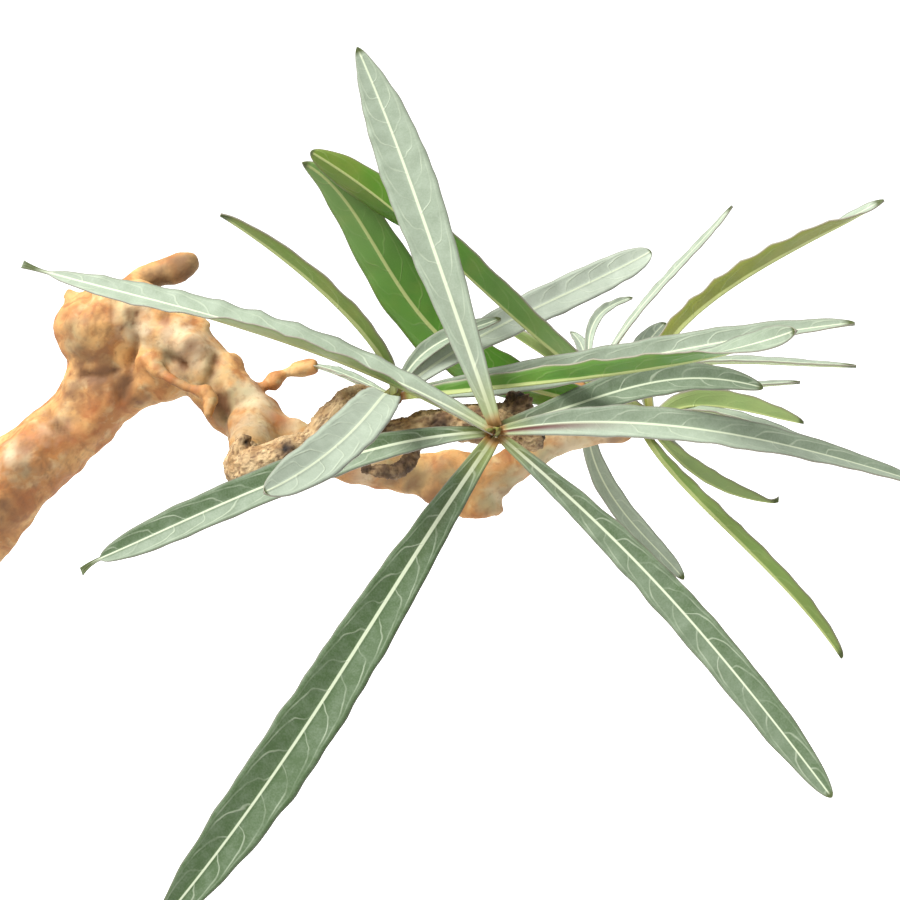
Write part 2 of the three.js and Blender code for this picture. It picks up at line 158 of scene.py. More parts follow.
area_lamp("key_lamp", place=(-0.5, -0.2, 1.35), target=(0.15, 0, 0.25), size=0.6, power=30)
area_lamp("table_bounce", place=(0.33, -0.22, 0.02), target=(0.2, 0, 0.27), size=0.3, power=0.9,
          seen=False)
print("lamps:", [lamp.name for lamp in bpy.data.lights])

# %% [markdown]
# The floor glows a little, so that it stays as white as the surround, and sends no light of its own back to
# the plant, which the second lamp does.

# %% White paper floor
FLOOR_SIZE = 8
FLOOR_GAP = 0.3
bm = bmesh.new()
bmesh.ops.create_grid(bm, x_segments=1, y_segments=1, size=FLOOR_SIZE / 2)
bmesh.ops.translate(bm, vec=(0, 0, -FLOOR_GAP * MM), verts=bm.verts)
floor_mesh = bpy.data.meshes.new("floor")
bm.to_mesh(floor_mesh)
bm.free()
floor = bpy.data.objects.new("floor", floor_mesh)
scene.collection.objects.link(floor)
paper, tree = start_material("white_studio_paper")
cloud = put(tree, "ShaderNodeTexNoise", {"Scale": per_metre(40)}, output="Fac")
white = put(tree, "ShaderNodeMix", {0: cloud, MIX_A: linear("#f9f9f9"), MIX_B: linear("#fdfdfd")},
            output=MIX_COLOUR, data_type="RGBA")
sheet = put(tree, "ShaderNodeBsdfPrincipled", {"Base Color": white, "Roughness": 0.9,
                                               "Emission Color": (1, 1, 1, 1), "Emission Strength": 0.7})
put(tree, "ShaderNodeOutputMaterial", {"Surface": sheet}, output=None)
floor_mesh.materials.append(paper)
floor.visible_diffuse = False
print("floor in metres:", FLOOR_SIZE)

# %% [markdown]
# ## The veins of a leaf
#
# The midrib is cream, and fine pale side veins leave it at about 45 degrees, then turn along the margin and
# join the next one. The margin itself is a hair-thin purple line. The veins could be drawn on an image, but
# every blade carries its own millimetres as attributes, so a formula draws them sharp at any distance:
# "blade" holds the way across, the way along and the half width. "tone" holds the wax or dust, how olive
# the underside is, and the blush, and these are partly painted light and shade. "place" holds the share of
# the length, a number of the leaf's own and the midrib's half width.

# %% Vein pattern
VEIN_SPACING = 7.5
VEIN_SLOPE = 0.9
VEIN_WIDTH = 0.24
VEIN_WANDER = 3.6
MARGIN_LINE = 0.35

# From which share of the half width the veins turn along the margin, and how suddenly
VEIN_TURN = 0.8
TURN_POWER = 7

# By how much of the spacing the veins of one half stand between those of the other
HALF_SHIFT = 0.23


def vein_pattern(tree):
    """Adds the nodes that both sides of a blade need, and gives back their outputs by name."""
    math_node = "ShaderNodeMath"
    found = {}
    for name in ("blade", "tone", "place"):
        vector = put(tree, "ShaderNodeAttribute", output="Vector", attribute_name=name)
        found[name] = vector
        found[name + "_parts"] = put(tree, "ShaderNodeSeparateXYZ", {0: vector}, output=None).outputs
    across, along, half = found["blade_parts"]
    share, seed, rib = found["place_parts"]
    out = put(tree, math_node, {0: across}, operation="ABSOLUTE")
    side = put(tree, math_node, {0: across}, operation="SIGN")
    reach = put(tree, math_node, {0: out, 1: half}, operation="DIVIDE")

    # How far ahead of its foot a vein is, and how steeply it runs there
    rise = put(tree, math_node, {0: out, 1: VEIN_SLOPE}, operation="MULTIPLY")
    part = put(tree, math_node, {0: reach, 1: VEIN_TURN}, operation="DIVIDE")
    turn = put(tree, math_node, {0: part, 1: TURN_POWER}, operation="POWER")
    ahead = put(tree, math_node, {0: turn, 1: VEIN_SPACING, 2: rise}, operation="MULTIPLY_ADD")
    steep = put(tree, math_node, {0: part, 1: TURN_POWER - 1}, operation="POWER")
    steep = put(tree, math_node, {0: steep, 1: TURN_POWER * VEIN_SPACING / VEIN_TURN}, operation="MULTIPLY")
    steep = put(tree, math_node, {0: steep, 1: half}, operation="DIVIDE")
    steep = put(tree, math_node, {0: steep, 1: VEIN_SLOPE}, operation="ADD")
    lean = put(tree, math_node, {0: steep, 1: steep, 2: 1}, operation="MULTIPLY_ADD")
    lean = put(tree, math_node, {0: lean}, operation="SQRT")

    # How far the nearest vein is, in millimetres. The veins wander, and each leaf starts them elsewhere.
    wander = put(tree, "ShaderNodeTexNoise", {"Vector": found["blade"], "Scale": 0.28, "Detail": 1},
                 output="Fac")
    wander = put(tree, math_node, {0: wander, 1: VEIN_WANDER, 2: along}, operation="MULTIPLY_ADD")
    shift = put(tree, math_node, {0: side, 1: HALF_SHIFT * VEIN_SPACING, 2: wander}, operation="MULTIPLY_ADD")
    shift = put(tree, math_node, {0: seed, 1: VEIN_SPACING, 2: shift}, operation="MULTIPLY_ADD")
    phase = put(tree, math_node, {0: shift, 1: ahead}, operation="SUBTRACT")
    phase = put(tree, math_node, {0: phase, 1: VEIN_SPACING}, operation="DIVIDE")
    near = put(tree, math_node, {0: phase, 1: 0.5}, operation="PINGPONG")
    near = put(tree, math_node, {0: near, 1: VEIN_SPACING}, operation="MULTIPLY")
    near = put(tree, math_node, {0: near, 1: lean}, operation="DIVIDE")
    beyond_rib = put(tree, math_node, {0: out, 1: rib}, operation="SUBTRACT")
    to_margin = put(tree, math_node, {0: half, 1: out}, operation="SUBTRACT")

    # Each of these is 1 up to its first value and fades to nought at its second
    for name, value, start, end, fade in (
            ("line", near, 0.2 * VEIN_WIDTH, VEIN_WIDTH, "SMOOTHSTEP"),
            ("inside", reach, 0.7, 0.9, "LINEAR"),
            ("rib", beyond_rib, -0.1, 0.08, "SMOOTHSTEP"),
            ("margin", to_margin, 0.1, MARGIN_LINE, "LINEAR"),
            ("foot", share, 0.01, 0.11, "SMOOTHSTEP"),
            ("socket", share, 0.006, 0.026, "SMOOTHSTEP"),
            ("near_rib", reach, 0.2, 0.75, "SMOOTHSTEP"),
            ("near_foot", share, 0.06, 0.36, "SMOOTHSTEP")):
        found[name] = put(tree, "ShaderNodeMapRange", {"Value": value, "From Min": start, "From Max": end,
                                                       "To Min": 1, "To Max": 0}, interpolation_type=fade)
    patchy = put(tree, "ShaderNodeTexNoise", {"Vector": found["blade"], "Scale": 0.17}, output="Fac")
    patchy = put(tree, "ShaderNodeMapRange", {"Value": patchy, "From Min": 0.38, "From Max": 0.62,
                                              "To Min": 0.25, "To Max": 1})
    late = put(tree, "ShaderNodeMapRange", {"Value": share, "From Min": 0.94, "From Max": 0.975})
    narrow = put(tree, "ShaderNodeMapRange", {"Value": half, "From Min": 1.3, "From Max": 0.8})
    line = put(tree, math_node, {0: found["line"], 1: found["inside"]}, operation="MULTIPLY")
    found["vein"] = put(tree, math_node, {0: line, 1: patchy}, operation="MULTIPLY")
    found["flush"] = put(tree, math_node, {0: found["near_foot"], 1: found["near_rib"]}, operation="MULTIPLY")
    found["tip"] = put(tree, math_node, {0: late, 1: narrow}, operation="MULTIPLY")
    return found

# %% [markdown]
# Leaves and bark alike are coloured in thin coats, as a painter would: a first colour, then each coat where
# it lies and as strongly as it shows. One function lays them for every material. Another gives a leaf its
# relief.

# %% Coats of colour and leaf relief
def coated(tree, first, coats):
    """Lays coats over a first colour: each is where it lies, how strongly it shows, and its colour."""
    colour = linear(first)
    for where, strength, top in coats:
        amount = put(tree, "ShaderNodeMath", {0: where, 1: strength}, operation="MULTIPLY")
        colour = put(tree, "ShaderNodeMix", {0: amount, MIX_A: colour, MIX_B: linear(top)},
                     output=MIX_COLOUR, data_type="RGBA", clamp_factor=True)
    return colour


def leaf_relief(tree, pattern, depth):
    """Fine veins and the blade's grain as a bump of so many millimetres."""
    grain = put(tree, "ShaderNodeTexNoise", {"Vector": pattern["blade"], "Scale": 1.6, "Detail": 3},
                output="Fac")
    height = put(tree, "ShaderNodeMath", {0: grain, 1: 0.5, 2: pattern["vein"]}, operation="MULTIPLY_ADD")
    return put(tree, "ShaderNodeBump", {"Height": height, "Strength": 0.6, "Distance": depth * MM})

# %% [markdown]
# ## The leaves' upper side
#
# The blade is covered by a waxy bloom that makes it grey-green and nearly matt, because the wax scatters
# the light, with a slight pale sheen at a glance. Where the wax is thin, the deep green shows through.
# Clouds of a few millimetres and a finer powder make the wax uneven, as it is where leaves have rubbed.
# The amount of wax on each half and each leaf is partly painted light and shade, set to how light falls
# on it.

# %% Green leaf under waxy bloom
wax_leaf, tree = start_material("green_leaf_under_waxy_bloom")
pattern = vein_pattern(tree)
bloom_and_light, _, blush_and_shade = pattern["tone_parts"]
# The wax amount is partly painted light and shade, set half by half and leaf by leaf.
wax_and_light = bloom_and_light
for scale, detail, unevenness in ((0.45, 4, 0.35), (2.6, 3, 0.3)):
    cloud = put(tree, "ShaderNodeTexNoise", {"Vector": pattern["blade"], "Scale": scale, "Detail": detail},
                output="Fac")
    cloud = put(tree, "ShaderNodeMath", {0: cloud, 1: 0.5}, operation="SUBTRACT")
    wax_and_light = put(tree, "ShaderNodeMath", {0: cloud, 1: unevenness, 2: wax_and_light}, operation="MULTIPLY_ADD")
thick = put(tree, "ShaderNodeMath", {0: wax_and_light, 1: 1}, operation="SUBTRACT", use_clamp=True)
# The blush near the foot and the midrib is the leaf's own flush, and on one leaf painted shade.
colour = coated(tree, "#485f38", [
    (wax_and_light, 1, "#a9b5a1"), (thick, 1, "#dde3d5"), (pattern["vein"], 0.4, "#c9d3b8"),
    (pattern["margin"], 0.5, "#7f746c"), (pattern["rib"], 0.9, "#d6dfc0"), (pattern["foot"], 0.55, "#939c4c"),
    (pattern["flush"], blush_and_shade, "#5c1f22"), (pattern["tip"], 1, "#4f5a30"), (pattern["socket"], 0.8, "#a26b35"),
])
skin = put(tree, "ShaderNodeBsdfPrincipled", {
    "Base Color": colour, "Roughness": 0.55, "IOR": 1.4, "Sheen Weight": 0.05, "Sheen Roughness": 0.5,
    "Normal": leaf_relief(tree, pattern, 0.09),
})
put(tree, "ShaderNodeOutputMaterial", {"Surface": skin}, output=None)
print(wax_leaf.name, len(tree.nodes), "nodes")

# %% [markdown]
# ## The leaves' underside
#
# Underneath there is little wax, only some pale dust on some leaves: fresh green on some and olive on
# others, smoother and a little glossy, with a pale yellow-green midrib that stands out as a ridge. The dust
# is partly painted light, which lightens undersides that face away from the lamp. Both sides could share a
# material, but the real ones differ so much that two are easier to tune.

# %% Bare leaf underside
bare_leaf, tree = start_material("bare_leaf_underside")
pattern = vein_pattern(tree)
# The dust is partly painted light on undersides that face away from the lamp.
dust_and_light, olive, blush_and_shade = pattern["tone_parts"]
cloud = put(tree, "ShaderNodeTexNoise", {"Vector": pattern["blade"], "Scale": 0.2, "Detail": 3}, output="Fac")
cloud = put(tree, "ShaderNodeMath", {0: cloud, 1: 0.5}, operation="SUBTRACT")
olive = put(tree, "ShaderNodeMath", {0: cloud, 1: 0.8, 2: olive}, operation="MULTIPLY_ADD", use_clamp=True)
# The blush near the foot and the midrib is the leaf's own flush, and on one leaf painted shade.
colour = coated(tree, "#4b7f1f", [
    (olive, 1, "#83893a"), (dust_and_light, 1, "#b9c891"), (pattern["vein"], 0.2, "#a9b97a"),
    (pattern["margin"], 0.4, "#857561"), (pattern["rib"], 0.8, "#c3cb86"), (pattern["foot"], 0.6, "#a7ac50"),
    (pattern["flush"], blush_and_shade, "#7a4a44"), (pattern["tip"], 1, "#4f5a30"), (pattern["socket"], 1, "#a26b35"),
])
skin = put(tree, "ShaderNodeBsdfPrincipled", {
    "Base Color": colour, "Roughness": 0.42, "IOR": 1.45, "Normal": leaf_relief(tree, pattern, 0.08),
})
put(tree, "ShaderNodeOutputMaterial", {"Surface": skin}, output=None)
print(bare_leaf.name, len(tree.nodes), "nodes")

# %% [markdown]
# The cut edge of the blade is purplish brown with paler flecks, which reads as the fine dark outline of a
# leaf. A shoot is fresh green with brown bud scales of 1 or 2 mm.

# %% Margin and shoot
leaf_edge, tree = start_material("purplish_leaf_margin")
fleck = put(tree, "ShaderNodeTexNoise", {"Scale": per_metre(3)}, output="Fac")
colour = coated(tree, "#8c7d74", [(fleck, 1, "#a3a48e")])
skin = put(tree, "ShaderNodeBsdfPrincipled", {"Base Color": colour, "Roughness": 0.55})
put(tree, "ShaderNodeOutputMaterial", {"Surface": skin}, output=None)

young_shoot, tree = start_material("young_green_shoot")
place = put(tree, "ShaderNodeTexCoord", output="Object")
scale = put(tree, "ShaderNodeTexNoise", {"Vector": place, "Scale": per_metre(1.6), "Detail": 4}, output="Fac")
scale = put(tree, "ShaderNodeMapRange", {"Value": scale, "From Min": 0.42, "From Max": 0.6})
colour = coated(tree, "#84853a", [(scale, 1, "#6b4527")])
bump = put(tree, "ShaderNodeBump", {"Height": scale, "Strength": 0.7, "Distance": 0.2 * MM})
skin = put(tree, "ShaderNodeBsdfPrincipled", {"Base Color": colour, "Roughness": 0.55, "Normal": bump})
put(tree, "ShaderNodeOutputMaterial", {"Surface": skin}, output=None)

LEAF_MATERIALS = [wax_leaf, bare_leaf, leaf_edge, young_shoot]
UPPER, UNDER, EDGE, SHOOT = range(4)
print("leaf materials:", [material.name for material in LEAF_MATERIALS])

# %% [markdown]
# ## The shape of one leaf
#
# A leaf is a narrow blade, folded a little along its midrib, that bends and twists along its own curve. It
# could be a flat sheet with a Solidify modifier, but the midrib ridge below and the thin margin need their
# own thickness, so a grid makes the upper side, its copy the underside, and the two rims are bridged. Each
# vertex is moved by the formula that also shaped the CAD leaf, with the waves and the swelling between the
# veins added.

# %% Curves for the blades
# The share of its full width that a blade has at its foot
BASE_SHARE = 0.24

# Where the dried hook at the end of some leaves starts, and how full and how sharp a tip is
HOOK_START = 0.95
ROUND_TIP = (2.4, 0.5)
POINTED_TIP = (1.9, 0.65)
DRAWN_TIP = (1.8, 0.65)
BLUNT_TIP = (3.6, 0.5)


def blend(values, t):
    """A value of a list spread evenly over 0 to 1, blended between its entries."""
    place = t * (len(values) - 1)
    first = min(int(place), max(len(values) - 2, 0))
    last = min(first + 1, len(values) - 1)
    return values[first] + (values[last] - values[first]) * (place - first)


def curve_through(points, t):
    """The polynomial through evenly spaced points, at t from 0 to 1."""
    last = len(points) - 1
    result = Vector()
    for i, point in enumerate(points):
        weight = 1
        for j in range(last + 1):
            if j != i:
                weight *= (t * last - j) / (i - j)
        result += Vector(point) * weight
    return result


def blade_share(t, widest, tip):
    """How wide the blade is at t, as a share of its full width."""
    if t < widest:
        return BASE_SHARE + (1 - BASE_SHARE) * math.sin(0.5 * math.pi * t / widest) ** 0.9
    beyond = min(1, (t - widest) / (1 - widest))
    fullness, point = tip
    return (1 - beyond ** fullness) ** point


def leaf_length(route, steps=24):
    points = [curve_through(route, i / steps) for i in range(steps + 1)]
    return sum((b - a).length for a, b in zip(points, points[1:]))


def leaf_frames(row, centre, count):
    """The share, middle, side, normal and half width of the blade's cross rows, closer towards its tip."""
    faces = [Vector(face) for face in row["face"]]
    frames = []
    for i in range(count + 1):
        t = 1 - (1 - i / count) ** 1.4
        ahead = curve_through(row["route"], min(1, t + 0.01))
        behind = curve_through(row["route"], max(0, t - 0.01))
        direction = (ahead - behind).normalized()
        normal = blend(faces, t)
        normal = (normal - direction * normal.dot(direction)).normalized()
        middle = Vector(centre) + curve_through(row["route"], t)
        blade_t, least = t, 0.2
        if row["hook"]:
            dried = max(0, t - HOOK_START) / (1 - HOOK_START)
            blade_t, least = t / HOOK_START, 0.45 + 0.5 * dried ** 2
            middle += Vector(row["hook"]) * dried ** 2
        half = max(least, row["width"] * blade_share(blade_t, row["widest"], row["tip"]) / 2)
        frames.append((t, middle, direction.cross(normal), normal, half))
    return frames


print("share of its width at a blade's foot, middle and near a blunt tip:",
      [round(blade_share(t, 0.6, BLUNT_TIP), 2) for t in (0, 0.5, 0.95)])

# %% [markdown]
# The blade's section comes from a few real measures: a margin 0.3 mm thick, a body twice that, and a midrib
# that stands out below by the CAD leaf's 1.3 mm near the foot and fades towards the tip. The margin is
# notched and waved by a seeded pattern that changes over a few millimetres, so no two leaves have the same
# edge.

# %% One leaf
LEAF_COLUMNS = 14
LEAF_ROWS = 100
FULL_ROWS_FROM = 90
MIDRIB_DEPTH = 1.25
MARGIN_THICKNESS = 0.3
BODY_THICKNESS = 0.35

# How far the margin goes in and out as a share of the half width, and over how many millimetres
NOTCH, NOTCH_LENGTH = 0.09, 6

# The heights in millimetres of the fine waves, of the swelling between the veins and of the midrib above
FINE_WAVE, FINE_LENGTH = 0.35, 4
SWELLING = 0.06
RIB_RAISED = 0.14


def add_leaf(bm, layers, row, centre, number, sides=(UPPER, UNDER, EDGE)):
    """Adds one closed leaf to a rosette, with the materials of its two sides and its rim."""
    blade_layer, tone_layer, place_layer = layers
    length = leaf_length(row["route"])
    seed = number * 0.37 % 1
    rows = max(12, round(LEAF_ROWS * min(1, length / FULL_ROWS_FROM)))
    frames = leaf_frames(row, centre, rows)
    before = len(bm.faces)
    upper = bmesh.ops.create_grid(bm, x_segments=LEAF_COLUMNS, y_segments=rows, size=1)["verts"]
    bm.faces.ensure_lookup_table()
    upper_faces = bm.faces[before:]
    copy = bmesh.ops.duplicate(bm, geom=upper_faces)
    lower_faces = [item for item in copy["geom"] if isinstance(item, bmesh.types.BMFace)]
    lower = [item for item in copy["geom"] if isinstance(item, bmesh.types.BMVert)]
    bmesh.ops.reverse_faces(bm, faces=lower_faces)

    for vert, below in [(vert, False) for vert in upper] + [(vert, True) for vert in lower]:
        # s runs from -1 at one margin to 1 at the other, and the columns stand closer near the midrib
        s = math.copysign(abs(vert.co.x) ** 1.35, vert.co.x)
        t, middle, side, normal, half = frames[round((vert.co.y + 1) / 2 * rows)]
        edge = abs(s)
        out = edge * half
        along = t * length
        fade = min(1, 4 * t * (1 - t))
        notch = noise.noise(Vector((along / NOTCH_LENGTH, 7 * number, math.copysign(3, s))))
        reach_half = half * (1 + NOTCH * notch * edge)
        fold = math.radians(blend(row["fold"], t) + row["crease"])
        ripple = row["wave"][0] * math.sin(2 * math.pi * row["wave"][1] * t) * fade
        fine = FINE_WAVE * noise.noise(Vector((along / FINE_LENGTH, 5 * number, math.copysign(9, s)))) * fade
        rib = 0.03 * row["width"] * (1 - 0.7 * t) + 0.09
        veins = math.sin(2 * math.pi * ((along - VEIN_SLOPE * out) / VEIN_SPACING + seed))
        height = (half * math.sin(fold) * edge ** 1.15 - math.copysign(ripple, s) * edge ** 1.4
                  + fine * edge ** 2 + SWELLING * veins * math.sin(math.pi * edge) * fade
                  + RIB_RAISED * math.exp(-(out / (0.8 * rib)) ** 2))
        if below:
            ridge = (MIDRIB_DEPTH - BODY_THICKNESS) * (1 - 0.75 * t) * math.exp(-(out / (1.1 * rib)) ** 2)
            height -= MARGIN_THICKNESS + BODY_THICKNESS * (1 - edge ** 3) + ridge
        vert.co = middle + side * s * reach_half * math.cos(fold) + normal * height

        # The two halves differ in wax and blush, partly painted light and shade, with a short change over the
        # midrib
        right = 0.5 + 0.5 * max(-1, min(1, s * 12))
        bloom_and_light = blend(row["dust_and_light"], t) if below else blend(row["bloom_and_light"], right)
        vert[blade_layer] = Vector((s * half, along, half))
        vert[tone_layer] = Vector((bloom_and_light, blend(row["olive"], t), blend(row["blush_and_shade"], right)))
        vert[place_layer] = Vector((t, seed, row["keel"] * rib if below else rib))

    rims = [edge for face in upper_faces + lower_faces for edge in face.edges if edge.is_boundary]
    rim_faces = bmesh.ops.bridge_loops(bm, edges=list(dict.fromkeys(rims)))["faces"]
    for faces, material in zip((upper_faces, lower_faces, rim_faces), sides):
        for face in faces:
            face.material_index = material
    bmesh.ops.recalc_face_normals(bm, faces=upper_faces + lower_faces + rim_faces)
